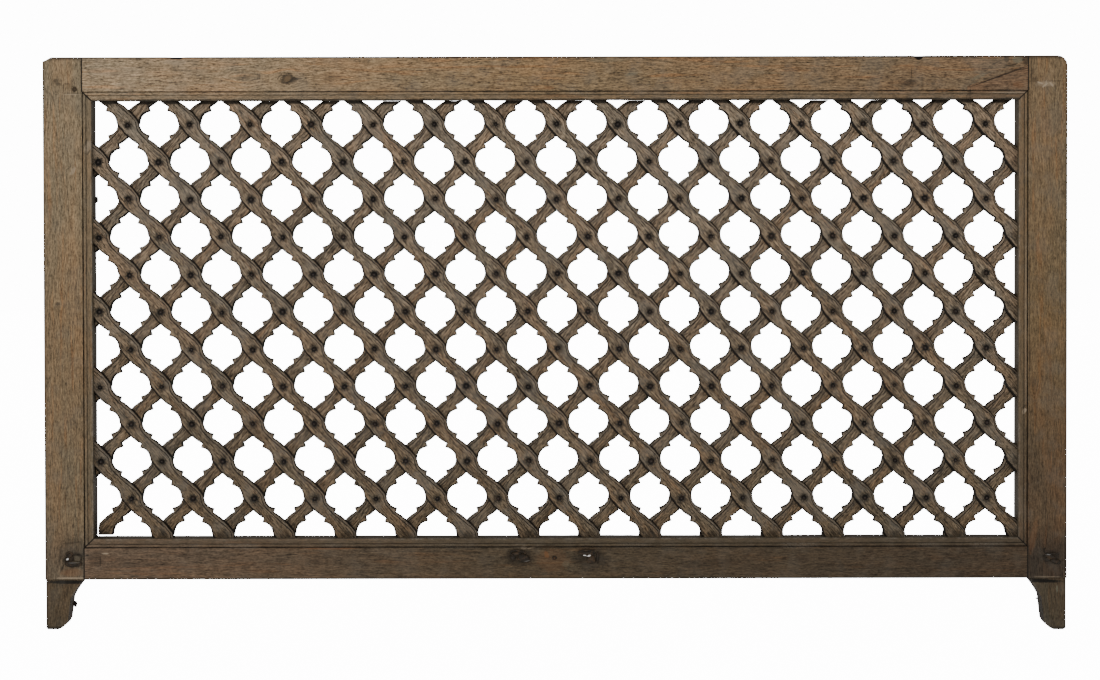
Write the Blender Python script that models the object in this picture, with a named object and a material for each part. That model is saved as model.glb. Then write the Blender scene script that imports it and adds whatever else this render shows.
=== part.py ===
"""Carved teak window panel: a rectangular frame on two bracket feet, filled with a diagonal lattice.

The lattice is two layers of cusped slats, nailed where they cross. The front layer falls from left to
right and is let into shallow pockets in the frame. The back layer falls from right to left, lies behind
the front one and butts the frame. A wedge of newer wood mends the right end of the top rail, and four
iron cramps are driven into the frame near its foot.

Metres, +Z up, the front faces -Y. The origin is the middle of the top rail's back face.
"""

import math

import bmesh
import bpy
from mathutils import Vector

# Frame
PANEL_WIDTH = 1.536
FRAME_HEIGHT = 0.785            # without the feet
FRAME_THICKNESS = 0.050
STILE_WIDTH = 0.072
TOP_RAIL_WIDTH = 0.065
BOTTOM_RAIL_WIDTH = 0.061
MOULDING_WIDTH = 0.0135         # carved along each member's inner edge
TOP_LEFT_CHAMFER = 0.0065       # the worn outer corners
TOP_LEFT_CHAMFER_RUN = 0.0130   # along the top
TOP_RIGHT_RADIUS = 0.0145

# Moulding, from the flat face to the opening
QUIRK_WIDTH = 0.0016
QUIRK_DEPTH = 0.0022
BEAD_WIDTH = 0.0040
BEAD_DROP = 0.0003              # the bead's top, behind the flat face
BEAD_EDGE_DROP = 0.0009
BEAD_TOP_SHARES = (0.3, 0.75)   # where the bead's top starts and ends, across its width
STEP_DEPTH = 0.0026
ARRIS_DEPTH = 0.0042

# Feet
FOOT_HEIGHT = 0.0755
RIGHT_FOOT_EXTRA = 0.0028       # the right foot is longer, so the panel stands a little out of level
FOOT_SETBACK = 0.005            # the foot's face lies behind the stile's
FOOT_OUTER_STEP = 0.0004
FOOT_TOP_WIDTH = 0.058
FOOT_NECK_WIDTH = 0.0372
FOOT_NECK_DROP = 0.029          # depth of the curve that leads down to the neck
FOOT_CURVE_SAG = 0.0016
FOOT_ANKLE_WIDTH = 0.0330
FOOT_SOLE_WIDTH = 0.018
FOOT_TOE_RISE = 0.014
FOOT_TOE_BULGE = 0.0026
LEFT_TOE_CHAMFER = 0.0030       # the worn outer corners of the soles
LEFT_TOE_CHAMFER_RUN = 0.0027
RIGHT_TOE_RADIUS = 0.0055

# How many straight steps make each curve
NECK_STEPS = 4
TOE_STEPS = 3
CORNER_STEPS = 4

# Lattice
CROSSING_PITCH_X = 0.0922       # between crossings along a row
CROSSING_PITCH_Z = 0.1129       # between crossings up a column
FIRST_ROW_DROP = 0.033          # first row of crossings, below the top rail's arris
LATTICE_OFFSET = 0.0014         # its middle column, right of the panel's middle at the first row
LATTICE_LEAN = 0.00028          # each row lies this much further right than the one above
SLAT_THICKNESS = 0.012
LATTICE_SETBACK = 0.020         # front slats' face, behind the frame's
SLAT_WIDTH = 0.0287             # at a crossing
COVE_DEPTH = 0.0070             # how far the edge curves in between crossings
NOTCH_DEPTH = 0.0062
NIB_HEIGHT = 0.0040             # carved nib, above its notch
EDGE_EASE = 0.0022              # the front edge is eased back by this much
SHORTEST_SLAT = 0.030
POCKET_DEPTH = 0.003            # the front slats enter the frame

# Mend in the top rail
PATCH_LENGTH = 0.0905
PATCH_TIP_HEIGHT = 0.0183
PATCH_JOINT_HEIGHT = 0.0505

# Iron cramps
CRAMP_LENGTH = 0.027
CRAMP_HEIGHT = 0.019
CRAMP_RISE = 0.0075             # how far it stands out of the wood
CRAMP_SIDES = 10
CRAMP_RINGS = ((1.0, 0.0), (0.86, 0.6), (0.45, 1.0))    # shares of its half size and of its rise
CRAMP_LEVEL = 0.032             # above the bottom rail's lower edge
LEFT_CRAMP_INSET = 0.041        # from the stile's outer edge
RIGHT_CRAMP_INSET = 0.024
RAIL_CRAMP_PLACES = (-0.0536, 0.0506)

# Fits
JOINT_GAP = 0.0003
OVERCUT = 0.010                 # how far a cutting shape runs past the wood

# Places that follow from the sizes above
HALF_WIDTH = PANEL_WIDTH / 2
FACE_Y = -FRAME_THICKNESS
FRAME_TOP = TOP_RAIL_WIDTH / 2
FRAME_BOTTOM = FRAME_TOP - FRAME_HEIGHT
OPENING_HALF = HALF_WIDTH - STILE_WIDTH
OPENING_TOP = FRAME_TOP - TOP_RAIL_WIDTH
OPENING_BOTTOM = FRAME_BOTTOM + BOTTOM_RAIL_WIDTH
STILE_FLAT = STILE_WIDTH - MOULDING_WIDTH

ROW_STEP = CROSSING_PITCH_Z / 2
FIRST_ROW_Z = OPENING_TOP - FIRST_ROW_DROP
FRONT_LAYER_Y = FACE_Y + LATTICE_SETBACK
BACK_LAYER_Y = FRONT_LAYER_Y + SLAT_THICKNESS + JOINT_GAP

# Where the edge's points lie between two crossings, as shares of the crossing spacing
NOTCH_SHARE = -0.025
NIB_SHARE = 0.026
COVE_SHARE = 0.197
EASED_COVE_SHARE = 0.145

TEAK_TOP = ("aged_teak_light", (0.22, 0.145, 0.085, 1.0), 0.62)
TEAK_STILE = ("aged_teak", (0.19, 0.125, 0.072, 1.0), 0.62)
TEAK_BOTTOM = ("aged_teak_dark", (0.085, 0.055, 0.034, 1.0), 0.60)
TEAK_FRONT_SLAT = ("aged_teak_front_slat", (0.135, 0.095, 0.064, 1.0), 0.65)
TEAK_BACK_SLAT = ("aged_teak_back_slat", (0.155, 0.110, 0.072, 1.0), 0.65)
TEAK_PATCH = ("red_teak_patch", (0.135, 0.070, 0.042, 1.0), 0.60)
IRON = ("blackened_iron", (0.020, 0.018, 0.017, 1.0), 0.45)


def clear_scene():
    for thing in list(bpy.data.objects):
        bpy.data.objects.remove(thing, do_unlink=True)


def material(name, colour, roughness, metallic=0.0):
    found = bpy.data.materials.get(name)
    if found:
        return found
    made = bpy.data.materials.new(name)
    made.use_nodes = True
    shader = made.node_tree.nodes["Principled BSDF"]
    shader.inputs["Base Color"].default_value = colour
    shader.inputs["Roughness"].default_value = roughness
    shader.inputs["Metallic"].default_value = metallic
    made.diffuse_color = colour
    return made


def object_from(mesh_points, faces, name):
    """A new object from points and faces, with all its faces turned outwards."""
    shape = bmesh.new()
    corners = [shape.verts.new(point) for point in mesh_points]
    for face in faces:
        shape.faces.new([corners[index] for index in face])
    bmesh.ops.recalc_face_normals(shape, faces=shape.faces)
    mesh = bpy.data.meshes.new(name)
    shape.to_mesh(mesh)
    shape.free()
    made = bpy.data.objects.new(name, mesh)
    bpy.context.scene.collection.objects.link(made)
    return made


def prism(name, outline, near_y, far_y):
    """A solid with the given front-view outline of (x, z) points, from near_y to far_y."""
    count = len(outline)
    points = [(x, near_y, z) for x, z in outline] + [(x, far_y, z) for x, z in outline]
    faces = [tuple(range(count)), tuple(range(2 * count - 1, count - 1, -1))]
    for index in range(count):
        after = (index + 1) % count
        faces.append((index, after, after + count, index + count))
    return object_from(points, faces, name)


def cut(thing, cutter, operation="DIFFERENCE"):
    """Boolean cut, applied at once."""
    step = thing.modifiers.new("cut", "BOOLEAN")
    step.operation = operation
    step.solver = "EXACT"
    step.object = cutter
    bpy.context.view_layer.update()
    graph = bpy.context.evaluated_depsgraph_get()
    result = bpy.data.meshes.new_from_object(thing.evaluated_get(graph))
    thing.modifiers.clear()
    thing.data = result


def discard(cutter):
    bpy.data.objects.remove(cutter, do_unlink=True)


def flatten(thing):
    """Joins the coplanar faces that cutting left, so that flat wood has few faces."""
    shape = bmesh.new()
    shape.from_mesh(thing.data)
    bmesh.ops.dissolve_limit(shape, angle_limit=math.radians(0.05), verts=shape.verts, edges=shape.edges)
    bmesh.ops.recalc_face_normals(shape, faces=shape.faces)
    shape.to_mesh(thing.data)
    shape.free()


# Frame members

def member_profile(width):
    """(distance from the outer edge, y) points of a frame member, from its outer front corner to its back.

    The moulding is a quirk, a low bead, a step and a sloping band that ends in the arris.
    """
    flat = width - MOULDING_WIDTH
    bead_start = flat + QUIRK_WIDTH
    bead_end = bead_start + BEAD_WIDTH
    top_start, top_end = (bead_start + BEAD_WIDTH * share for share in BEAD_TOP_SHARES)
    return [
        (0, FACE_Y),
        (flat, FACE_Y),
        (flat + QUIRK_WIDTH / 2, FACE_Y + QUIRK_DEPTH),
        (bead_start, FACE_Y + BEAD_EDGE_DROP),
        (top_start, FACE_Y + BEAD_DROP),
        (top_end, FACE_Y + BEAD_DROP),
        (bead_end, FACE_Y + BEAD_EDGE_DROP),
        (bead_end + QUIRK_WIDTH / 4, FACE_Y + STEP_DEPTH),
        (width, FACE_Y + ARRIS_DEPTH),
        (width, 0),
        (flat, 0),
        (0, 0),
    ]


def rail(name, width, outer_z, inward):
    """A rail between the stiles. Its flat part ends square and its moulding ends in a mitre.

    inward is -1 for the top rail, whose opening lies below it, and 1 for the bottom rail.
    """
    profile = member_profile(width)
    flat = width - MOULDING_WIDTH
    end_of_flat = HALF_WIDTH - STILE_FLAT - JOINT_GAP
    count = len(profile)
    points = []
    for side in (-1, 1):
        for distance, y in profile:
            mitre = max(0.0, distance - flat)
            points.append((side * (end_of_flat - mitre), y, outer_z + inward * distance))
    # the end is two flat faces that meet along the flat part's edge
    flat_end = (0, 1, count - 2, count - 1)
    mitred_end = tuple(range(1, count - 1))
    faces = [flat_end, mitred_end]
    faces += [tuple(count + index for index in face) for face in (flat_end, mitred_end)]
    for index in range(count):
        after = (index + 1) % count
        faces.append((index, after, after + count, index + count))
    return object_from(points, faces, name)


def stile_x(side, distance):
    """x of a place on a stile, from its distance to the panel's outer edge."""
    return side * (HALF_WIDTH - distance)


def arc_points(start, end, sag, steps):
    """Points strictly between start and end on a shallow arc that bulges by sag to the left of the way."""
    way = Vector(end) - Vector(start)
    normal = Vector((-way.y, way.x)).normalized()
    points = []
    for step in range(1, steps):
        share = step / steps
        point = Vector(start) + way * share + normal * sag * 4 * share * (1 - share)
        points.append((point.x, point.y))
    return points


def foot_height(side):
    return FOOT_HEIGHT + (RIGHT_FOOT_EXTRA if side > 0 else 0.0)


def foot_edge(side):
    """(distance from the outer edge, drop below the rail) points down a foot's inner side to its sole."""
    top = (FOOT_TOP_WIDTH, 0.0)
    neck = (FOOT_NECK_WIDTH, FOOT_NECK_DROP)
    ankle = (FOOT_ANKLE_WIDTH, foot_height(side) - FOOT_TOE_RISE)
    toe = (FOOT_SOLE_WIDTH, foot_height(side))
    curve = arc_points(top, neck, FOOT_CURVE_SAG, NECK_STEPS)
    return [top] + curve + [neck, ankle] + arc_points(ankle, toe, -FOOT_TOE_BULGE, TOE_STEPS) + [toe]


def stile(name, side):
    """A stile with its foot: the moulded section runs its full length, and the rails' room is cut away."""
    top, sole = FRAME_TOP, FRAME_BOTTOM - foot_height(side)
    profile = member_profile(STILE_WIDTH)
    count = len(profile)
    points = [(stile_x(side, distance), y, z) for z in (top, sole) for distance, y in profile]
    faces = [tuple(range(count)), tuple(range(2 * count - 1, count - 1, -1))]
    for index in range(count):
        after = (index + 1) % count
        faces.append((index, after, after + count, index + count))
    post = object_from(points, faces, name)

    beyond = STILE_WIDTH + OVERCUT
    reach = MOULDING_WIDTH + OVERCUT
    top_shoulder = FRAME_TOP - (TOP_RAIL_WIDTH - MOULDING_WIDTH)
    bottom_shoulder = FRAME_BOTTOM + (BOTTOM_RAIL_WIDTH - MOULDING_WIDTH)
    top_room = [
        (STILE_FLAT, top + OVERCUT),
        (STILE_FLAT, top_shoulder),
        (beyond, top_shoulder - reach),
        (beyond, top + OVERCUT),
    ]
    bottom_room = [
        (beyond, bottom_shoulder + reach),
        (STILE_FLAT, bottom_shoulder),
        (STILE_FLAT, FRAME_BOTTOM - JOINT_GAP),
    ]
    bottom_room += [(distance, FRAME_BOTTOM - JOINT_GAP - drop) for distance, drop in foot_edge(side)]
    sole_distance = bottom_room[-1][0]
    bottom_room += [(sole_distance, sole - OVERCUT), (beyond, sole - OVERCUT)]
    front_room = [
        (-OVERCUT, FRAME_BOTTOM),
        (beyond, FRAME_BOTTOM),
        (beyond, sole - OVERCUT),
        (-OVERCUT, sole - OVERCUT),
    ]
    outer_step = [
        (-OVERCUT, FRAME_BOTTOM),
        (FOOT_OUTER_STEP, FRAME_BOTTOM),
        (FOOT_OUTER_STEP, sole - OVERCUT),
        (-OVERCUT, sole - OVERCUT),
    ]
    back = OVERCUT
    front = FACE_Y - OVERCUT
    cuts = [
        ("top_room", top_room, front, back),
        ("bottom_room", bottom_room, front, back),
        ("outer_step", outer_step, front, back),
        ("foot_front", front_room, front, FACE_Y + FOOT_SETBACK),
        ("corner", worn_corner(side), front, back),
        ("toe_corner", worn_toe(side, sole), front, back),
    ]
    for label, outline, near_y, far_y in cuts:
        placed = [(stile_x(side, distance), z) for distance, z in outline]
        cutter = prism(label, placed, near_y, far_y)
        cut(post, cutter)
        discard(cutter)
    return post


def chamfer_outline(drop, run):
    """(distance from the outer edge, height above the end) points round what a chamfer takes off a corner."""
    return [(-OVERCUT, OVERCUT), (-OVERCUT, -drop - OVERCUT * drop / run), (run + OVERCUT * run / drop, OVERCUT)]


def round_outline(radius):
    """The same for a rounded corner."""
    outline = [(-OVERCUT, OVERCUT), (-OVERCUT, -radius)]
    for step in range(CORNER_STEPS + 1):
        turn = math.pi / 2 * step / CORNER_STEPS
        outline.append((radius * (1 - math.cos(turn)), radius * (math.sin(turn) - 1)))
    return outline + [(radius, OVERCUT)]


def worn_corner(side):
    """Outline of what is missing at a stile's top outer corner: a chamfer on the left, a round on the right."""
    outline = round_outline(TOP_RIGHT_RADIUS)
    if side < 0:
        outline = chamfer_outline(TOP_LEFT_CHAMFER, TOP_LEFT_CHAMFER_RUN)
    return [(distance, FRAME_TOP + up) for distance, up in outline]


def worn_toe(side, sole):
    """The same at the outer corner of a foot's sole."""
    outline = round_outline(RIGHT_TOE_RADIUS)
    if side < 0:
        outline = chamfer_outline(LEFT_TOE_CHAMFER, LEFT_TOE_CHAMFER_RUN)
    return [(distance, sole - up) for distance, up in outline]


def patch_outline(gap):
    """Front view of the mend: a wedge along the top rail's lower edge that widens to the right stile."""
    right = HALF_WIDTH - STILE_FLAT
    left = right - PATCH_LENGTH
    low = OPENING_TOP - OVERCUT
    slope = (PATCH_JOINT_HEIGHT - PATCH_TIP_HEIGHT) / PATCH_LENGTH
    end = right + OVERCUT
    return [
        (left - gap, low),
        (left - gap, OPENING_TOP + PATCH_TIP_HEIGHT + gap),
        (end, OPENING_TOP + PATCH_TIP_HEIGHT + slope * (end - left) + gap),
        (end, low),
    ]


# Lattice

def run_per_row(hand):
    """How far a slat moves sideways from one row of crossings to the next."""
    return CROSSING_PITCH_X / 2 + hand * LATTICE_LEAN


def crossing_spacing(hand):
    return math.hypot(run_per_row(hand), ROW_STEP)


def edge_points(first, last, spacing, eased):
    """(s, half width) points along one edge of a slat, where s is 0 at the first row of crossings.

    Each stretch between two crossings runs in to a notch, out to a nib, round a cove and out again to
    the next crossing. The eased front edge has the coves alone.
    """
    half = SLAT_WIDTH / 2
    crossing = half - EDGE_EASE if eased else half
    points = [(first * spacing, crossing)]
    for index in range(first, last):
        middle = (index + 0.5) * spacing
        if eased:
            points.append((middle + EASED_COVE_SHARE * spacing, half - COVE_DEPTH - EDGE_EASE / 2))
        else:
            points.append((middle + NOTCH_SHARE * spacing, half - NOTCH_DEPTH))
            points.append((middle + NIB_SHARE * spacing, half - NOTCH_DEPTH + NIB_HEIGHT))
            points.append((middle + COVE_SHARE * spacing, half - COVE_DEPTH))
        points.append(((index + 1) * spacing, crossing))
    return points


def slat_shape(first, last, spacing, near_y):
    """A long slat in its own plane: s along it, v across it. The upper edge is the lower one turned end for end."""
    total = (first + last) * spacing
    chains = {}
    for eased in (False, True):
        lower = [(s, -width) for s, width in edge_points(first, last, spacing, eased)]
        upper = [(total - s, -v) for s, v in lower]
        chains[eased] = (lower, upper)
    points = []
    index_of = {}
    for eased, y in ((True, near_y), (False, near_y + SLAT_THICKNESS)):
        for side, chain in enumerate(chains[eased]):
            index_of[eased, side] = list(range(len(points), len(points) + len(chain)))
            points += [(s, y, v) for s, v in chain]
    faces = [tuple(index_of[eased, 0] + index_of[eased, 1]) for eased in (True, False)]
    for side in (0, 1):
        front, back = index_of[True, side], index_of[False, side]
        for stretch in range(last - first):
            crossing, cove, after = front[2 * stretch:2 * stretch + 3]
            rear = back[4 * stretch:4 * stretch + 5]
            faces += [
                (crossing, rear[0], rear[1]),
                (crossing, rear[1], cove),
                (cove, rear[1], rear[2]),
                (cove, rear[2], rear[3]),
                (cove, rear[3], rear[4]),
                (cove, rear[4], after),
            ]
    for side in (0, 1):
        other = 1 - side
        faces.append((index_of[True, side][-1], index_of[True, other][0],
                      index_of[False, other][0], index_of[False, side][-1]))
    return points, faces


def bar_shape(first, last, spacing, near_y, half_width):
    """A plain straight bar along a slat's line, which cuts the pockets for its ends."""
    start, end = first * spacing, last * spacing
    corners = [(start, -half_width), (end, -half_width), (end, half_width), (start, half_width)]
    far_y = near_y + SLAT_THICKNESS + 2 * JOINT_GAP
    points = [(s, near_y, v) for s, v in corners] + [(s, far_y, v) for s, v in corners]
    faces = [(0, 1, 2, 3), (7, 6, 5, 4)]
    faces += [(index, (index + 1) % 4, (index + 1) % 4 + 4, index + 4) for index in range(4)]
    return points, faces


def placed_on_line(points, line_x, hand):
    """Turns slat points to the slat's slope. hand is 1 where it falls to the right, -1 to the left."""
    run, fall = run_per_row(hand) / crossing_spacing(hand), ROW_STEP / crossing_spacing(hand)
    return [
        (line_x + hand * (s * run + v * fall), y, FIRST_ROW_Z - s * fall + v * run)
        for s, y, v in points
    ]


def trim(shape, room):
    """Cuts a shape square to the room (left, right, bottom, top) and closes each cut."""
    left, right, bottom, top = room
    for place, outward in (
        ((left, 0, 0), (-1, 0, 0)),
        ((right, 0, 0), (1, 0, 0)),
        ((0, 0, bottom), (0, 0, -1)),
        ((0, 0, top), (0, 0, 1)),
    ):
        everything = shape.verts[:] + shape.edges[:] + shape.faces[:]
        bmesh.ops.bisect_plane(shape, geom=everything, plane_co=place, plane_no=outward, clear_outer=True)
        open_edges = [edge for edge in shape.edges if edge.is_boundary]
        if open_edges:
            bmesh.ops.holes_fill(shape, edges=open_edges, sides=0)


def keep_largest_body(shape):
    """Drops the crumbs that a cut through a nib can leave beside the slat."""
    left = set(shape.verts)
    bodies = []
    while left:
        body = {left.pop()}
        to_visit = list(body)
        while to_visit:
            corner = to_visit.pop()
            for edge in corner.link_edges:
                other = edge.other_vert(corner)
                if other in left:
                    left.remove(other)
                    body.add(other)
                    to_visit.append(other)
        bodies.append(body)
    bodies.sort(key=len)
    crumbs = [corner for body in bodies[:-1] for corner in body]
    bmesh.ops.delete(shape, geom=crumbs, context="VERTS")


def trimmed_object(name, points, faces, room):
    made = object_from(points, faces, name)
    shape = bmesh.new()
    shape.from_mesh(made.data)
    trim(shape, room)
    keep_largest_body(shape)
    bmesh.ops.remove_doubles(shape, verts=shape.verts, dist=JOINT_GAP / 10)
    bmesh.ops.recalc_face_normals(shape, faces=shape.faces)
    shape.to_mesh(made.data)
    shape.free()
    return made


def opening(growth):
    """(left, right, bottom, top) of the frame's opening, grown by the given amount."""
    return (-OPENING_HALF - growth, OPENING_HALF + growth, OPENING_BOTTOM - growth, OPENING_TOP + growth)


def line_name(number):
    """Names a slat after its line, counted from the middle column, so that it keeps its name if others come or go."""
    if number == 0:
        return "middle"
    return f"{'left' if number < 0 else 'right'}_{abs(number):02d}"


def slat_lines(hand):
    """(line number, x at the first row, first crossing, last crossing) of each slat that the opening shows."""
    top_row = (FIRST_ROW_Z - OPENING_TOP) / ROW_STEP
    bottom_row = (FIRST_ROW_Z - OPENING_BOTTOM) / ROW_STEP
    run = run_per_row(hand)
    reach = math.ceil((OPENING_HALF + (bottom_row + 1) * run) / CROSSING_PITCH_X) + 1
    lines = []
    for number in range(-reach, reach + 1):
        line_x = LATTICE_OFFSET + number * CROSSING_PITCH_X
        rows_to_sides = sorted(hand * (side * OPENING_HALF - line_x) / run for side in (-1, 1))
        first = max(top_row, rows_to_sides[0])
        last = min(bottom_row, rows_to_sides[1])
        if (last - first) * crossing_spacing(hand) > SHORTEST_SLAT:
            lines.append((number, line_x, math.floor(first) - 1, math.ceil(last) + 1))
    return lines


def slats(layer, hand, near_y, room):
    """One layer of the lattice, each slat its own object."""
    made = []
    for number, line_x, first, last in slat_lines(hand):
        points, faces = slat_shape(first, last, crossing_spacing(hand), near_y)
        placed = placed_on_line(points, line_x, hand)
        made.append(trimmed_object(f"{layer}_slat_{line_name(number)}", placed, faces, room))
    return made


def pocket_cutter():
    """All the front slats' ends as straight bars, a gap larger than the slats."""
    points, faces = [], []
    near_y = FRONT_LAYER_Y - JOINT_GAP
    half_width = SLAT_WIDTH / 2 + JOINT_GAP
    for _, line_x, first, last in slat_lines(1):
        bar, bar_faces = bar_shape(first, last, crossing_spacing(1), near_y, half_width)
        start = len(points)
        points += placed_on_line(bar, line_x, 1)
        faces += [tuple(start + index for index in face) for face in bar_faces]
    made = object_from(points, faces, "pocket_cutter")
    shape = bmesh.new()
    shape.from_mesh(made.data)
    trim(shape, opening(POCKET_DEPTH + JOINT_GAP))
    bmesh.ops.recalc_face_normals(shape, faces=shape.faces)
    shape.to_mesh(made.data)
    shape.free()
    return made


# Iron cramps

def cramp(name, x):
    """A hammered iron cramp: a low oval boss that lies on the face of the wood."""
    z = FRAME_BOTTOM + CRAMP_LEVEL
    seat = FACE_Y - JOINT_GAP
    points = []
    for size, rise in CRAMP_RINGS:
        for step in range(CRAMP_SIDES):
            turn = 2 * math.pi * step / CRAMP_SIDES
            points.append((
                x + size * CRAMP_LENGTH / 2 * math.cos(turn),
                seat - rise * CRAMP_RISE,
                z + size * CRAMP_HEIGHT / 2 * math.sin(turn),
            ))
    faces = [tuple(range(CRAMP_SIDES)), tuple(2 * CRAMP_SIDES + index for index in range(CRAMP_SIDES))]
    for ring in (0, 1):
        for step in range(CRAMP_SIDES):
            after = (step + 1) % CRAMP_SIDES
            base = ring * CRAMP_SIDES
            faces.append((base + step, base + after, base + CRAMP_SIDES + after, base + CRAMP_SIDES + step))
    return object_from(points, faces, name)


def finish(thing, look, metallic=0.0):
    name, colour, roughness = look
    thing.data.materials.clear()
    thing.data.materials.append(material(name, colour, roughness, metallic))


def build():
    clear_scene()
    left_stile = stile("left_stile", -1)
    right_stile = stile("right_stile", 1)
    top_rail = rail("top_rail", TOP_RAIL_WIDTH, FRAME_TOP, -1)
    bottom_rail = rail("bottom_rail", BOTTOM_RAIL_WIDTH, FRAME_BOTTOM, 1)

    patch = rail("top_rail_patch", TOP_RAIL_WIDTH, FRAME_TOP, -1)
    patch_shape = prism("patch_shape", patch_outline(0.0), FACE_Y - OVERCUT, OVERCUT)
    cut(patch, patch_shape, "INTERSECT")
    discard(patch_shape)
    patch_room = prism("patch_room", patch_outline(JOINT_GAP), FACE_Y - OVERCUT, OVERCUT)
    cut(top_rail, patch_room)
    discard(patch_room)

    pockets = pocket_cutter()
    for member in (left_stile, right_stile, top_rail, bottom_rail, patch):
        cut(member, pockets)
        flatten(member)
    discard(pockets)

    finish(left_stile, TEAK_STILE)
    finish(right_stile, TEAK_STILE)
    finish(top_rail, TEAK_TOP)
    finish(bottom_rail, TEAK_BOTTOM)
    finish(patch, TEAK_PATCH)

    for slat in slats("front", 1, FRONT_LAYER_Y, opening(POCKET_DEPTH)):
        finish(slat, TEAK_FRONT_SLAT)
    for slat in slats("back", -1, BACK_LAYER_Y, opening(-JOINT_GAP)):
        finish(slat, TEAK_BACK_SLAT)

    cramp_places = {
        "left_stile_cramp": stile_x(-1, LEFT_CRAMP_INSET),
        "rail_cramp_left": RAIL_CRAMP_PLACES[0],
        "rail_cramp_right": RAIL_CRAMP_PLACES[1],
        "right_stile_cramp": stile_x(1, RIGHT_CRAMP_INSET),
    }
    for name, x in cramp_places.items():
        finish(cramp(name, x), IRON, metallic=0.8)


build()
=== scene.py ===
"""The finish of a carved teak window panel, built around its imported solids.

Run as a script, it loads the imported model, replaces its plain wood and iron with finely modelled pieces, and
sets up the stage, the light and the camera. Metres, +Z up, the front faces -Y.
"""

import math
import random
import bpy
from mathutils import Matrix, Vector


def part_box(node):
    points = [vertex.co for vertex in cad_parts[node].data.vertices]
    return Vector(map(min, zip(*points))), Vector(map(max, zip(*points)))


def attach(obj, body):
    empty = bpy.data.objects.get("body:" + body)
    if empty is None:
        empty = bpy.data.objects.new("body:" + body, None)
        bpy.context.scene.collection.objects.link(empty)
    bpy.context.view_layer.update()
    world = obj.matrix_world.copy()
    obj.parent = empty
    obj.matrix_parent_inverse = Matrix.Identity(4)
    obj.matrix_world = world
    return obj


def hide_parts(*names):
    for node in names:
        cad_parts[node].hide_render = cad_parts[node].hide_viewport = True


bl_info = {
    "name": "Carved Teak Window Panel",
    "version": (1, 0, 0),
    "blender": (4, 5, 0),
    "location": "3D View > Sidebar > Teak Panel",
    "description": "Builds the finish of a carved teak window panel around its packed solids",
    "category": "Object",
}

import bmesh
import bpy
from mathutils import Matrix, Vector, noise

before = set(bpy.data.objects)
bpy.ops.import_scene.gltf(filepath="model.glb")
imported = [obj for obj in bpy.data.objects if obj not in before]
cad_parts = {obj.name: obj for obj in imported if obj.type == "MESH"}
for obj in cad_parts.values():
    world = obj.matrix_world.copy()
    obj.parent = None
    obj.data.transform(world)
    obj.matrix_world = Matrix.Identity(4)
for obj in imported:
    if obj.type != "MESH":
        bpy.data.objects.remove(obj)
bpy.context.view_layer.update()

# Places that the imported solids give
FACE_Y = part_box("top_rail")[0].y
FRAME_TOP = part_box("top_rail")[1].z
OPENING_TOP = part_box("top_rail")[0].z
OPENING_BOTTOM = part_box("bottom_rail")[1].z
FRAME_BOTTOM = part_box("bottom_rail")[0].z
LEFT_SOLE_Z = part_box("left_stile")[0].z
RIGHT_SOLE_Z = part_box("right_stile")[0].z
SOLE_Z = min(LEFT_SOLE_Z, RIGHT_SOLE_Z)
PANEL_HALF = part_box("right_stile")[1].x
OPENING_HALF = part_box("left_stile")[1].x * -1
FRONT, BACK = 1, -1
LAYER_Y = {FRONT: [corner.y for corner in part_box("front_slat_middle")],
           BACK: [corner.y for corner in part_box("back_slat_middle")]}

# The lattice and the joinery, as the solids have them
PITCH_X = 0.0922
ROW_STEP = 0.05645
FIRST_ROW_Z = -0.0655
LATTICE_OFFSET = 0.0014
LATTICE_LEAN = 0.00028
POCKET_DEPTH = 0.003
JOINT_GAP = 0.0003
ROWS = 11
COLUMNS_EACH_SIDE = 14
NUMBERS = {FRONT: range(-12, 8), BACK: range(-7, 13)}
MOULDING_WIDTH = 0.0135
QUIRK_MIDDLE = 0.0127           # from the opening
STEP_MIDDLE = 0.0077

# Where a nail is driven, from the middle of its crossing, and how near to the stile at least
NAIL_ACROSS = 0.0010
NAIL_DROP = 0.0030
NAIL_FROM_STILE = 0.0078

# How nails differ: in size, in height, in roundness, in place and in tilt
NAIL_SIZE_SHARES = (0.84, 1.12)
NAIL_HEIGHT_SHARES = (0.8, 1.15)
NAIL_ROUND_SHARES = (0.85, 1.05)
NAIL_OFF_PLACE = 0.0008
NAIL_TILT = 0.08
NAIL_DENTS = 0.0005

# How far apart the frame's faces are cut, along the grain, across it and in depth, and round knots and chips
PACE_ALONG = 0.006
PACE_ACROSS = 0.0024
PACE_IN_DEPTH = 0.005
PACE_FINE = 0.001
CLOSEST_CUTS = 0.0007
SAME_POINT = 0.00002

# How handling has worn the slats: shares of a nib that are lost, its length, and dips of the tool
NIB_LOSSES = (0.0, 0.0, 0.1, 0.2, 0.4, 0.7)
NIB_LENGTH = 0.0024
TOOL_DIP = 0.0004

MM = 0.001
SEED = 41

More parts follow.
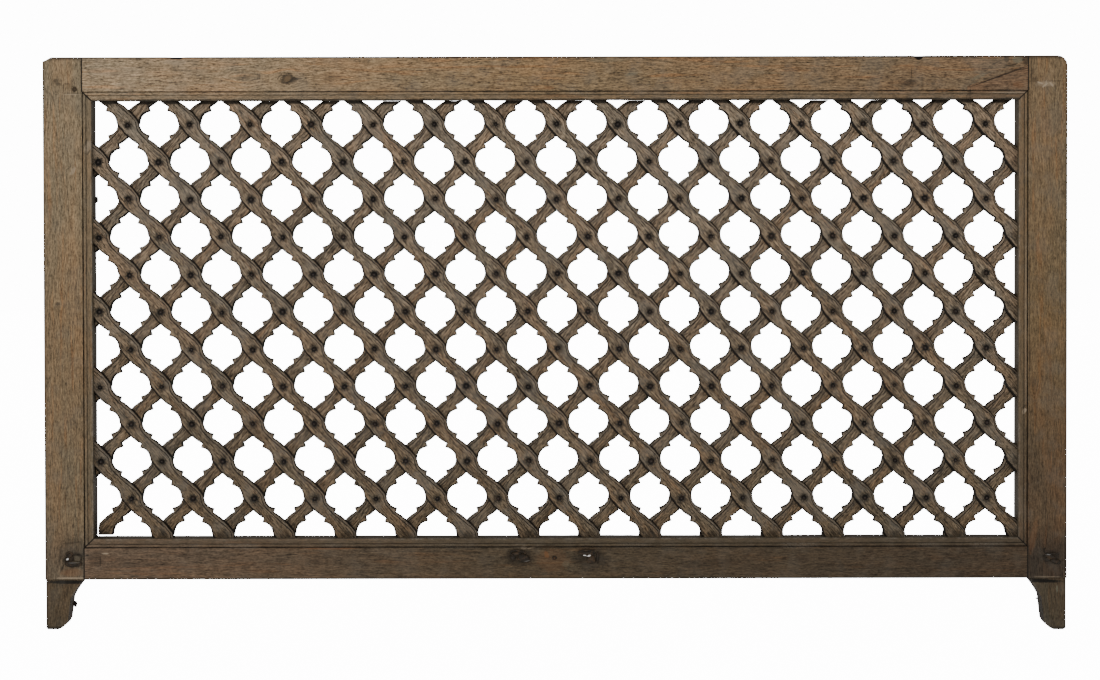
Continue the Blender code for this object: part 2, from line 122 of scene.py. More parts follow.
# Sizes and colours that a user would change
SIZES = {
    "nib_reach": (0.0135, "How far a carved nib stands from the slat's middle line"),
    "cove_half": (0.0088, "Half the slat's width in the cove between crossings"),
    "crossing_half": (0.0141, "Half the slat's width where it crosses another"),
    "upper_slope": (0.0044, "Width of the sloping facet along a slat's upper edge"),
    "edge_wobble": (0.0005, "How far hand carving wanders from the pattern"),
    # The outline band that this width sets is dirt and painted shade.
    "dark_edge": (0.0026, "Width of the dirt along a slat's outline"),
    "arris_round": (0.0012, "Rounding of the frame's outer edges"),
    "surface_wave": (0.0006, "How far the old wood's faces rise and fall"),
    "nail_radius": (0.0078, "From the middle of a rosette nail to a petal's tip"),
    "nail_height": (0.0034, "How far a nail's core stands out of the wood"),
}
COLOURS = {
    "top_rail_left": ((0.296, 0.210, 0.125), "The top rail's lightest end"),
    "top_rail_middle": ((0.202, 0.131, 0.067), "The top rail's middle"),
    "top_rail_right": ((0.160, 0.105, 0.059), "The top rail's darker end"),
    "left_stile_top": ((0.206, 0.150, 0.088), "The left upright at its top"),
    "left_stile_middle": ((0.179, 0.120, 0.065), "The left upright's middle"),
    "left_stile_low": ((0.149, 0.106, 0.061), "The left upright above the bottom rail"),
    "left_stile_end": ((0.106, 0.080, 0.052), "The left upright beside the bottom rail"),
    "left_stile_foot": ((0.077, 0.054, 0.031), "The left bracket foot"),
    "right_stile_top": ((0.160, 0.108, 0.058), "The right upright at its top"),
    "right_stile_middle": ((0.132, 0.087, 0.043), "The right upright's middle"),
    "right_stile_low": ((0.087, 0.056, 0.031), "The right upright above the bottom rail"),
    "right_stile_end": ((0.042, 0.030, 0.020), "The right upright beside the bottom rail"),
    "right_stile_foot": ((0.059, 0.046, 0.029), "The right bracket foot"),
    "bottom_rail_left": ((0.123, 0.080, 0.050), "The bottom rail's left end"),
    "bottom_rail_middle": ((0.068, 0.049, 0.029), "The bottom rail's middle"),
    "bottom_rail_right": ((0.057, 0.039, 0.024), "The bottom rail's right end"),
    "patch": ((0.137, 0.086, 0.050), "The redder wood of the mend"),
    "front_slats_top": ((0.190, 0.142, 0.094), "The front layer at the top"),
    "front_slats_low": ((0.112, 0.080, 0.048), "The front layer at the bottom"),
    "back_slats_top": ((0.198, 0.146, 0.096), "The back layer at the top"),
    "back_slats_low": ((0.114, 0.082, 0.049), "The back layer at the bottom"),
    # Dark colour for old dirt and for painted shade: shade is painted with it in the quirks, reveals and feet, along
    # slat outlines, between the layers, under the top rail and along the tops of the feet.
    "soot": ((0.010, 0.008, 0.006), "Old dirt in recesses and at outlines"),
    "dry": ((0.400, 0.310, 0.215), "Scuffed, dry wood on edges and scratches"),
    "rust": ((0.190, 0.080, 0.030), "Wood worn to its red-brown heart"),
    "lichen": ((0.120, 0.115, 0.080), "Grey-green film on weathered wood"),
    "film": ((0.098, 0.078, 0.051), "Dull dirt on the moulding and the inner faces"),
    "iron": ((0.011, 0.009, 0.008), "Blackened iron of the nails"),
    "cramp_iron": ((0.022, 0.017, 0.012), "Brown-black iron of the cramps"),
    # The next colour paints highlights on the cramps' iron.
    "painted_iron_highlight": ((0.850, 0.830, 0.800), "Iron rubbed bright"),
    "stage": ((0.93, 0.93, 0.93), "The plain floor"),
}


def label(name):
    return name.replace("_", " ").capitalize()


class TeakPanelSizes(bpy.types.PropertyGroup):
    __annotations__ = {
        name: bpy.props.FloatProperty(name=label(name), default=default, description=description, unit="LENGTH",
                                      precision=5, min=0.0)
        for name, (default, description) in SIZES.items()}
    nail_petals: bpy.props.IntProperty(name="Nail petals", default=7, min=5, max=12,
                                       description="Petals on each rosette nail")


class TeakPanelColours(bpy.types.PropertyGroup):
    __annotations__ = {
        name: bpy.props.FloatVectorProperty(name=label(name), default=default, description=description,
                                            subtype="COLOR", size=3, min=0.0, max=1.0)
        for name, (default, description) in COLOURS.items()}


def sizes():
    return bpy.context.scene.teak_panel_sizes


def colour(name):
    return getattr(bpy.context.scene.teak_panel_colours, name)


# Working with pieces

def only(thing):
    """Leaves one object selected and active, with nothing selected in its mesh."""
    if bpy.context.mode != "OBJECT":
        bpy.ops.object.mode_set(mode="OBJECT")
    bpy.ops.object.select_all(action="DESELECT")
    thing.select_set(True)
    bpy.context.view_layer.objects.active = thing


def edit_all(thing):
    only(thing)
    bpy.ops.object.mode_set(mode="EDIT")
    bpy.ops.mesh.select_mode(type="VERT")
    bpy.ops.mesh.select_all(action="SELECT")


def done():
    bpy.ops.object.mode_set(mode="OBJECT")


def apply_turn(thing):
    only(thing)
    bpy.ops.object.transform_apply(location=True, rotation=True, scale=True)


def sort_faces(thing):
    """Lists the faces by their corners: extruding lists them in an order that changes from run to run."""
    shape = bmesh.new()
    shape.from_mesh(thing.data)
    for place, face in enumerate(sorted(shape.faces, key=lambda face: sorted(vert.index for vert in face.verts))):
        face.index = place
    shape.faces.sort()
    shape.to_mesh(thing.data)
    shape.free()


def face_outwards(thing):
    edit_all(thing)
    bpy.ops.mesh.normals_make_consistent(inside=False)
    done()


def smooth(thing, degrees):
    only(thing)
    bpy.ops.object.shade_smooth_by_angle(angle=math.radians(degrees))


def apply_modifier(thing, name, kind, **settings):
    only(thing)
    modifier = thing.modifiers.new(name, kind)
    for key, value in settings.items():
        setattr(modifier, key, value)
    bpy.ops.object.modifier_apply(modifier=modifier.name)


def twin_of(thing):
    twin = thing.copy()
    twin.data = thing.data.copy()
    bpy.context.scene.collection.objects.link(twin)
    return twin


def join(pieces):
    only(pieces[0])
    for piece in pieces:
        piece.select_set(True)
    bpy.ops.object.join()
    return bpy.context.object


def settle(piece, name, material, nodes=()):
    """Names a finished piece, gives it its finish, hangs it from the root and hides the solids it stands for."""
    piece.name = piece.data.name = name
    piece.data.materials.clear()
    piece.data.materials.append(material)
    apply_turn(piece)
    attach(piece, "root")
    if nodes:
        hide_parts(*nodes)


def wave(place, stretch, seed):
    """Smooth noise between -1 and 1 at a place, with the place scaled by stretch along each axis."""
    return noise.noise(Vector((place[0] * stretch[0] + seed, place[1] * stretch[1], place[2] * stretch[2])))


def ramp(value, low, high):
    """0 below low, 1 above high, and smooth between."""
    share = min(1.0, max(0.0, (value - low) / (high - low)))
    return share * share * (3 - 2 * share)


def write_attribute(mesh, name, values):
    """A vector for each vertex, which the materials read."""
    attribute = mesh.attributes.new(name, "FLOAT_VECTOR", "POINT")
    attribute.data.foreach_set("vector", [part for value in values for part in value])


# Nodes

class Wire:
    """A node's output. Arithmetic with it adds Math nodes to its tree."""

    def __init__(self, socket):
        self.socket = socket
        self.tree = socket.id_data

    def maths(self, operation, other=0.0):
        return output(self.tree, "ShaderNodeMath", 0, {0: self, 1: other}, operation=operation)

    def __add__(self, other):
        return self.maths("ADD", other)

    def __sub__(self, other):
        return self.maths("SUBTRACT", other)

    def __mul__(self, other):
        return self.maths("MULTIPLY", other)

    def __abs__(self):
        return self.maths("ABSOLUTE")


def fill(made, values):
    """Links or sets a node's inputs. A colour is given without its alpha."""
    for name, value in values.items():
        entry = made.inputs[name]
        if isinstance(value, Wire):
            value.tree.links.new(value.socket, entry)
        else:
            entry.default_value = (*value, 1.0) if entry.type == "RGBA" else value
    return made


def node(tree, kind, values=None, **settings):
    made = tree.nodes.new(kind)
    for key, value in settings.items():
        setattr(made, key, value)
    return fill(made, values or {})


def output(tree, kind, which, values=None, **settings):
    """One output of a new node."""
    return Wire(node(tree, kind, values, **settings).outputs[which])


def tree_of(*values):
    return next(value.tree for value in values if isinstance(value, Wire))


def mix(factor, first, second, blend="MIX"):
    return output(tree_of(factor, first, second), "ShaderNodeMix", 2, {0: factor, 6: first, 7: second},
                  data_type="RGBA", blend_type=blend, clamp_factor=True)


def vector_maths(operation, first, second=None, which="Vector"):
    values = {0: first} if second is None else {0: first, "Scale" if operation == "SCALE" else 1: second}
    return output(first.tree, "ShaderNodeVectorMath", which, values, operation=operation)


def joined(x, y, z):
    return output(tree_of(x, y, z), "ShaderNodeCombineXYZ", 0, {0: x, 1: y, 2: z})


def parts_of(vector):
    return [Wire(part) for part in node(vector.tree, "ShaderNodeSeparateXYZ", {0: vector}).outputs]


def attribute(tree, name):
    return output(tree, "ShaderNodeAttribute", "Vector", attribute_name=name)


def span(value, low, high, to_low=0.0, to_high=1.0):
    return output(value.tree, "ShaderNodeMapRange", "Result",
                  {"Value": value, "From Min": low, "From Max": high, "To Min": to_low, "To Max": to_high},
                  interpolation_type="SMOOTHSTEP")


def highest(first, *others):
    for other in others:
        first = first.maths("MAXIMUM", other)
    return first


def swing(noise_value, amount):
    """Noise round 0 instead of round a half, times an amount."""
    return (noise_value - 0.5) * amount


def line(distance, middle, half):
    """1 on a line where the distance is middle, and 0 from a little beyond half its width."""
    return span(abs(distance - middle), half * 0.5, half * 1.5, 1.0, 0.0)


def stretched(vector, along, across, detail, roughness=0.5, offset=0.0):
    """Noise whose grains are 1 / along and 1 / across metres long."""
    placed = output(vector.tree, "ShaderNodeMapping", "Vector",
                    {"Vector": vector, "Scale": (along, across, across), "Location": (offset,) * 3})
    return output(vector.tree, "ShaderNodeTexNoise", "Fac",
                  {"Vector": placed, "Scale": 1.0, "Detail": detail, "Roughness": roughness})


def new_group(name, inputs, outputs):
    """A node group's inputs by name, and a function that links its outputs and returns it."""
    group = bpy.data.node_groups.new(name, "ShaderNodeTree")
    for direction, sockets in (("INPUT", inputs), ("OUTPUT", outputs)):
        for socket, kind in sockets.items():
            group.interface.new_socket(name=socket, in_out=direction, socket_type="NodeSocket" + kind)
    entry = group.nodes.new("NodeGroupInput")
    leave = group.nodes.new("NodeGroupOutput")

    def give(**values):
        fill(leave, values)
        return group
    return {socket: Wire(entry.outputs[socket]) for socket in inputs}, give


def placed_group(tree, make_group, name, values):
    """Puts a node group into a material, and builds the group the first time."""
    group = bpy.data.node_groups.get(name) or make_group(name)
    made = node(tree, "ShaderNodeGroup", values, node_tree=group)
    return {socket.name: Wire(socket) for socket in made.outputs}


def grain_group(name):
    """Old teak: short fine fibres over soft streaks, with pores and drying cracks along the grain."""
    given, give = new_group(
        name, {"Grain place": "Vector", "Wood": "Color", "Streaks": "Float", "Fibre": "Float", "Cracks": "Float",
               "Warmth": "Float"}, {"Color": "Color", "Height": "Float"})
    place, wood, cracks = given["Grain place"], given["Wood"], given["Cracks"]
    drift = swing(stretched(place, 9.0, 34.0, 2.0, offset=3.1), 0.005)
    bent = vector_maths("ADD", place, joined(0.0, drift, drift))

    streaks = stretched(bent, 18.0, 330.0, 3.0, 0.60)
    fibres = stretched(bent, 90.0, 560.0, 2.0, 0.60, 7.7)
    mottle = stretched(place, 260.0, 420.0, 3.0, 0.65, 8.3)
    broad = stretched(bent, 7.0, 26.0, 3.0, 0.6, 1.9)
    red = stretched(bent, 9.0, 130.0, 2.0, 0.5, 6.1)
    pore = span(stretched(bent, 150.0, 950.0, 1.0, 0.5, 5.3), 0.62, 0.70)
    seams = stretched(bent, 9.0, 150.0, 1.0, 0.4, 11.0)
    where = stretched(bent, 14.0, 50.0, 1.0, 0.4, 2.6)
    thin = stretched(bent, 20.0, 230.0, 1.0, 0.5, 14.7)
    hairline = span(abs(thin - 0.5), 0.010, 0.035, 1.0, 0.0) * (cracks * 0.45)
    crack = span(abs(seams - 0.5), 0.012, 0.040, 1.0, 0.0) * span(where, 0.50, 0.58) * cracks

    warm = mix(1.0, wood, (1.16, 0.94, 0.78), "MULTIPLY")
    grey = mix(1.0, wood, (0.94, 1.0, 1.05), "MULTIPLY")
    reddish = highest(span(broad, 0.48, 0.68) * 0.45, span(red, 0.56, 0.68) * 0.8)
    toned = mix(reddish * given["Warmth"], wood, warm)
    toned = mix(span(broad, 0.50, 0.36, 0.0, 0.8), toned, grey)
    tone = swing(streaks, given["Streaks"] * 2.0) + swing(fibres, given["Fibre"] * 3.0)
    tone = tone + swing(mottle, given["Fibre"] * 2.2)
    toned = vector_maths("SCALE", toned, highest(tone + swing(broad, 0.45) + 1.0, 0.20))
    toned = mix(pore * 0.34, toned, (0.030, 0.020, 0.014))
    toned = mix(hairline, toned, (0.022, 0.016, 0.011))
    toned = mix(crack * 0.88, toned, (0.010, 0.008, 0.006))
    return give(Color=toned, Height=streaks * 0.50 + fibres * 0.50 - crack * 1.1 - pore * 0.35)


def wear_group(name):
    """Grey weathering, rubbed wood, knots, and dirt and painted shade over them all; on the slats' upper slopes the
    rubbed lightening is painted light.
    """
    given, give = new_group(
        name, {"Color": "Color", "Marks": "Vector", "Place": "Vector", "Rough": "Float", "Grey": "Float",
               "Grime": "Float", "Soot": "Color"}, {"Color": "Color", "Roughness": "Float"})
    wood, rough = given["Color"], given["Rough"]
    dirt_and_shade, dry, dark = parts_of(given["Marks"])
    patches = stretched(given["Place"], 26.0, 26.0, 4.0, 0.6, 4.2)
    grey = mix(span(patches, 0.46, 0.64) * given["Grey"], wood, mix(0.45, wood, (0.150, 0.136, 0.112)))
    rubbed = mix(0.55, mix(1.0, grey, (1.6, 1.6, 1.6), "MULTIPLY"), (0.200, 0.182, 0.155))
    # On the slats' upper slopes the dry mark lightens the wood as painted light; on the frame it is rubbed wear.
    worn = mix(dry * span(rough, 0.32, 0.62), grey, rubbed)
    knot = mix(dark * 0.85, worn, (0.034, 0.024, 0.017))
    # The first mark is dirt and painted shade, laid on in the dark colour.
    ragged = dirt_and_shade * span(rough, 0.25, 0.50, 0.88, 1.0)
    return give(Color=mix(ragged * given["Grime"], knot, given["Soot"]),
                Roughness=span(patches, 0.3, 0.7, 0.64, 0.82))


def stain_group(name):
    """An oval mark on the front of the wood, turned as wanted, with a ragged rim."""
    given, give = new_group(name, {"Place": "Vector", "Middle": "Vector", "Half size": "Vector", "Turn": "Float",
                                   "Rough": "Float"}, {"Mask": "Float"})
    away = vector_maths("SUBTRACT", given["Place"], given["Middle"])
    turned = output(away.tree, "ShaderNodeVectorRotate", 0, {"Vector": away, "Angle": given["Turn"]},
                    rotation_type="Y_AXIS")
    reach = vector_maths("LENGTH", vector_maths("DIVIDE", turned, given["Half size"]), which="Value")
    return give(Mask=span(reach + swing(given["Rough"], 1.1), 0.65, 1.15, 1.0, 0.0))


def joinery_group(name):
    """Painted shade and dirt in the moulding's quirk and step and along the top rail's lower arris, dirt in the mitres
    and in the joints, and the film on the reveals.
    """
    given, give = new_group(name, {"Place": "Vector", "Rough": "Float"}, {"Dirt": "Float", "Reveal": "Float"})
    x, y, z = parts_of(given["Place"])
    beyond_side = abs(x) - OPENING_HALF
    beyond_end = highest(z - OPENING_TOP, z * -1.0 + OPENING_BOTTOM)
    outside = highest(beyond_side, beyond_end)
    jitter = swing(given["Rough"], 0.0011)
    moved = outside + jitter
    broken = span(stretched(given["Place"], 45.0, 45.0, 2.0, offset=5.5), 0.38, 0.60, 0.65, 1.0)
    # Dirt and painted shade in the quirk and the step.
    quirk = line(moved, QUIRK_MIDDLE, 0.0009) * broken
    step = line(moved, STEP_MIDDLE, 0.0005) * (broken * 0.8)
    # Dirt and a painted shadow along the top rail's lower arris, above the lattice.
    arris = span(beyond_end + jitter * 2.5, 0.0012, 0.0026, 1.0, 0.0) * (broken * 0.9)
    arris = arris * z.maths("GREATER_THAN", OPENING_TOP - 0.0010) * beyond_side.maths("LESS_THAN", -0.0005)
    mitre = line(beyond_side - beyond_end + jitter, 0.0, 0.0013)
    mitre = mitre * span(outside, MOULDING_WIDTH + 0.0006, MOULDING_WIDTH)
    joint = line(beyond_side + jitter * 0.5, MOULDING_WIDTH, 0.0010)
    joint = joint * span(beyond_end, MOULDING_WIDTH - 0.0006, MOULDING_WIDTH)
    joint = joint * z.maths("GREATER_THAN", FRAME_BOTTOM - 0.002)
    reveal = span(outside, 0.0016, 0.0008) * span(y, FACE_Y + 0.0030, FACE_Y + 0.0060)
    return give(
        Dirt=highest(quirk, step, arris, mitre, joint) * span(y, FACE_Y + 0.0090, FACE_Y + 0.0070),
        Reveal=highest(reveal, span(moved, QUIRK_MIDDLE, STEP_MIDDLE) * 0.45))


# Materials

def new_material(name):
    made = bpy.data.materials.new(name)
    made.use_nodes = True
    return made, made.node_tree, made.node_tree.nodes["Principled BSDF"]


def tones_along(place, axis, tones):
    """A colour that changes along an axis, from (place, colour name) pairs in order."""
    low, high = tones[0][0], tones[-1][0]
    share = output(place.tree, "ShaderNodeMapRange", "Result",
                   {"Value": parts_of(place)["XYZ".index(axis)], "From Min": low, "From Max": high})
    blend = node(place.tree, "ShaderNodeValToRGB", {"Fac": share})
    stops = blend.color_ramp.elements
    stops[0].color = (*colour(tones[0][1]), 1.0)
    stops[-1].color = (*colour(tones[-1][1]), 1.0)
    for at, tone in tones[1:-1]:
        stops.new((at - low) / (high - low)).color = (*colour(tone), 1.0)
    return Wire(blend.outputs["Color"])


def member_dirt_and_shade(tree, place, rough):
    """A frame member's dirt and painted shade, and the film on its reveal."""
    dirt_and_shade, dry, dark = parts_of(attribute(tree, "marks"))
    joinery = placed_group(tree, joinery_group, "Joinery lines", {"Place": place, "Rough": rough})
    return joined(highest(dirt_and_shade, joinery["Dirt"]), dry, dark), joinery["Reveal"]


def lattice_dirt_and_shade(hand):
    """A slat's dirt and painted shade: dirt and painted shade along its outline, painted shade against the other layer,
    a stain round its nails and a painted shadow under the top rail.
    """
    def dirt_and_shade(tree, place, rough):
        from_nail, aside, to_other = parts_of(attribute(tree, "lattice"))
        end, dry, from_outline = parts_of(attribute(tree, "marks"))
        dark, crossing, nail = sizes().dark_edge, sizes().crossing_half, sizes().nail_radius
        jitter = swing(rough, 0.0026)
        # Dirt and painted shade along the slat's outline and its lower walls.
        outline_dirt_and_shade = span(from_outline + jitter, dark * 0.75, dark * 1.25, 1.0, 0.0)
        if hand == FRONT:
            reach = vector_maths("LENGTH", joined(from_nail, aside, 0.0), which="Value") + jitter * 3.0
            near = span(reach, nail * 0.75, nail * 1.20, 0.42, 0.0)
        else:
            # Painted shade where the back slat passes under a front slat.
            near = span(to_other + jitter, crossing + 0.0001, crossing + 0.0016, 0.90, 0.0)
        # A painted shadow of the top rail across the slats' tops.
        rail_shadow = span(parts_of(place)[2] + jitter, OPENING_TOP - 0.0062, OPENING_TOP - 0.0036, 0.0, 0.9)
        return joined(highest(outline_dirt_and_shade, near, rail_shadow, end), dry, 0.0), None
    return dirt_and_shade


def stained(so_far, place, rough, stains):
    """Lays oval marks over a colour. A stain is (colour name, x, z, half length, half width, turn, strength)."""
    for tint, x, z, half_long, half_wide, turn, strength in stains:
        mask = placed_group(so_far.tree, stain_group, "Oval mark",
                            {"Place": place, "Middle": (x * MM, FACE_Y, z * MM), "Turn": math.radians(turn),
                             "Half size": (half_long * MM, 0.04, half_wide * MM), "Rough": rough})["Mask"]
        so_far = mix(mask * strength, so_far, colour(tint))
    return so_far


def teak(name, axis, tones, dirt_and_shade_of, streaks=1.0, fibre=1.0, cracks=1.0, warmth=1.0, grey=0.5, grime=0.9,
         relief=0.5, stains=()):
    """Aged teak whose tone changes along an axis."""
    made, tree, shader = new_material(name)
    place = output(tree, "ShaderNodeTexCoord", "Object")
    rough = stretched(place, 480.0, 480.0, 3.0, 0.6, 9.4)
    grain = placed_group(tree, grain_group, "Teak grain",
                         {"Grain place": attribute(tree, "grain"), "Wood": tones_along(place, axis, tones),
                          "Streaks": streaks, "Fibre": fibre, "Cracks": cracks, "Warmth": warmth})
    wood = stained(grain["Color"], place, rough, stains)
    marks, film = dirt_and_shade_of(tree, place, rough)
    if film:
        wood = mix(film * 0.85, wood, colour("film"))
    wear = placed_group(tree, wear_group, "Handling and dirt",
                        {"Color": wood, "Marks": marks, "Place": place, "Rough": rough, "Grey": grey,
                         "Grime": grime, "Soot": colour("soot")})
    raised = output(tree, "ShaderNodeBump", 0, {"Height": grain["Height"], "Strength": relief, "Distance": 0.0012})
    fill(shader, {"Base Color": wear["Color"], "Roughness": wear["Roughness"], "Specular IOR Level": 0.12,
                  "Normal": raised})
    return made


def iron(name, iron_colour, shine, painted_highlights_and_film=(), worn_middle=False):
    """Blackened, hammered iron with a little rust, and spots laid over it: painted highlights where it would catch the
    light, and brown film.

    With worn_middle, the attribute "ring" holds the distance from a nail's middle, which is worn lighter.
    """
    made, tree, shader = new_material(name)
    place = output(tree, "ShaderNodeTexCoord", "Object")
    hammered = stretched(place, 260.0, 260.0, 3.0, 0.6)
    rust = stretched(place, 150.0, 150.0, 4.0, 0.6, 3.3)
    rusty = [part * share for part, share in zip(colour(iron_colour), (2.9, 2.3, 1.8))]
    tint = mix(span(rust, 0.46, 0.66, 0.0, 0.8), colour(iron_colour), rusty)
    # Painted highlights and a brown film patch over the iron.
    tint = stained(tint, place, hammered, painted_highlights_and_film)
    if worn_middle:
        reach = parts_of(attribute(tree, "ring"))[0] + swing(rust, 0.0014)
        tint = mix(span(reach, 0.0006, 0.0014, 0.50, 0.0), tint, (0.070, 0.052, 0.042))
        tint = mix(span(reach, 0.0038, 0.0054, 0.0, 0.85), tint, (0.062, 0.052, 0.038))
    raised = output(tree, "ShaderNodeBump", 0, {"Height": hammered, "Strength": 0.5, "Distance": 0.0006})
    fill(shader, {"Base Color": tint, "Roughness": span(hammered, 0.35, 0.65, shine, shine + 0.25),
                  "Specular IOR Level": 0.16, "Normal": raised})
    return made


# Frame members

# (node, piece, slot, material, place in the grain, looks)
MEMBERS = (
    ("top_rail", "weathered_top_rail", "teak_top_rail", "weathered top rail", 1.0,
     {"streaks": 0.42, "fibre": 1.0, "cracks": 0.22, "grey": 0.5, "grime": 1.0}),
    ("top_rail_patch", "weathered_patch", "teak_patch", "redder mend", 2.0,
     {"streaks": 0.8, "fibre": 0.8, "cracks": 0.4, "grey": 0.15}),
    ("bottom_rail", "weathered_bottom_rail", "teak_bottom_rail", "dark bottom rail", 3.0,
     {"streaks": 0.45, "fibre": 0.75, "cracks": 0.25, "warmth": 0.7, "grey": 0.25, "grime": 1.0}),
    ("left_stile", "weathered_left_stile", "teak_stile", "left upright", 4.0,
     {"streaks": 0.34, "fibre": 0.80, "cracks": 0.12, "grey": 0.35, "grime": 1.0}),
    ("right_stile", "weathered_right_stile", "teak_stile", "right upright", 5.0,
     {"streaks": 0.30, "fibre": 0.70, "cracks": 0.12, "grey": 0.4, "grime": 1.0}),
)
RAIL_TONES = ((-OPENING_HALF, "left"), (-0.05, "middle"), (OPENING_HALF, "right"))
STILE_TONES = ((SOLE_Z, "foot"), (FRAME_BOTTOM - 0.0010, "foot"), (FRAME_BOTTOM + 0.0006, "end"), (-0.71, "end"),
               (-0.665, "low"), (-0.60, "low"), (-0.36, "middle"), (-0.10, "top"), (FRAME_TOP, "top"))

# Knots: (x, z, half length along the grain, half width across it, darkness), on the frame's front
KNOTS = {
    "top_rail": [
        (-0.4005, -0.0013, 0.012, 0.010, 0.35), (-0.4650, 0.0018, 0.013, 0.007, 0.20),
        (-0.3330, 0.0010, 0.020, 0.007, 0.30), (0.5300, -0.0085, 0.016, 0.009, 0.45),
    ],
    "top_rail_patch": [(0.6930, 0.0150, 0.012, 0.007, 0.50)],
    "left_stile": [(-0.7485, -0.0043, 0.008, 0.006, 0.15), (-0.7470, -0.3372, 0.006, 0.004, 0.25)],
    "right_stile": [(0.7180, -0.4580, 0.009, 0.005, 0.30)],
    "bottom_rail": [(-0.3600, -0.7260, 0.014, 0.006, 0.40), (0.3700, -0.7230, 0.012, 0.006, 0.40)],
}

# Dents and chips in the front: (x, z, radius, how deep the wood is gone, how far its edge is lowered)
CHIPS = {
    "top_rail": [(-0.5720, FRAME_TOP, 0.0050, 0.0010, 0.0018), (-0.5630, FRAME_TOP, 0.0055, 0.0012, 0.0022),
                 (0.5440, FRAME_TOP, 0.0050, 0.0016, 0.0046), (0.5475, FRAME_TOP, 0.0040, 0.0016, 0.0030)],
    "top_rail_patch": [(0.6930, FRAME_TOP, 0.012, 0.0012, 0.0012)],
    "left_stile": [(-0.7270, -0.7140, 0.015, 0.0022, 0), (-0.7060, -0.1000, 0.010, 0.0012, 0),
                   (-0.7230, -0.1370, 0.012, 0.0011, 0)],
    "right_stile": [(0.7040, -0.5010, 0.006, 0.0022, 0)],
    "bottom_rail": [(-0.0550, -0.7130, 0.012, 0.0014, 0), (0.0470, -0.7130, 0.012, 0.0014, 0),
                    (-0.6840, -0.7130, 0.010, 0.0010, 0)],
}
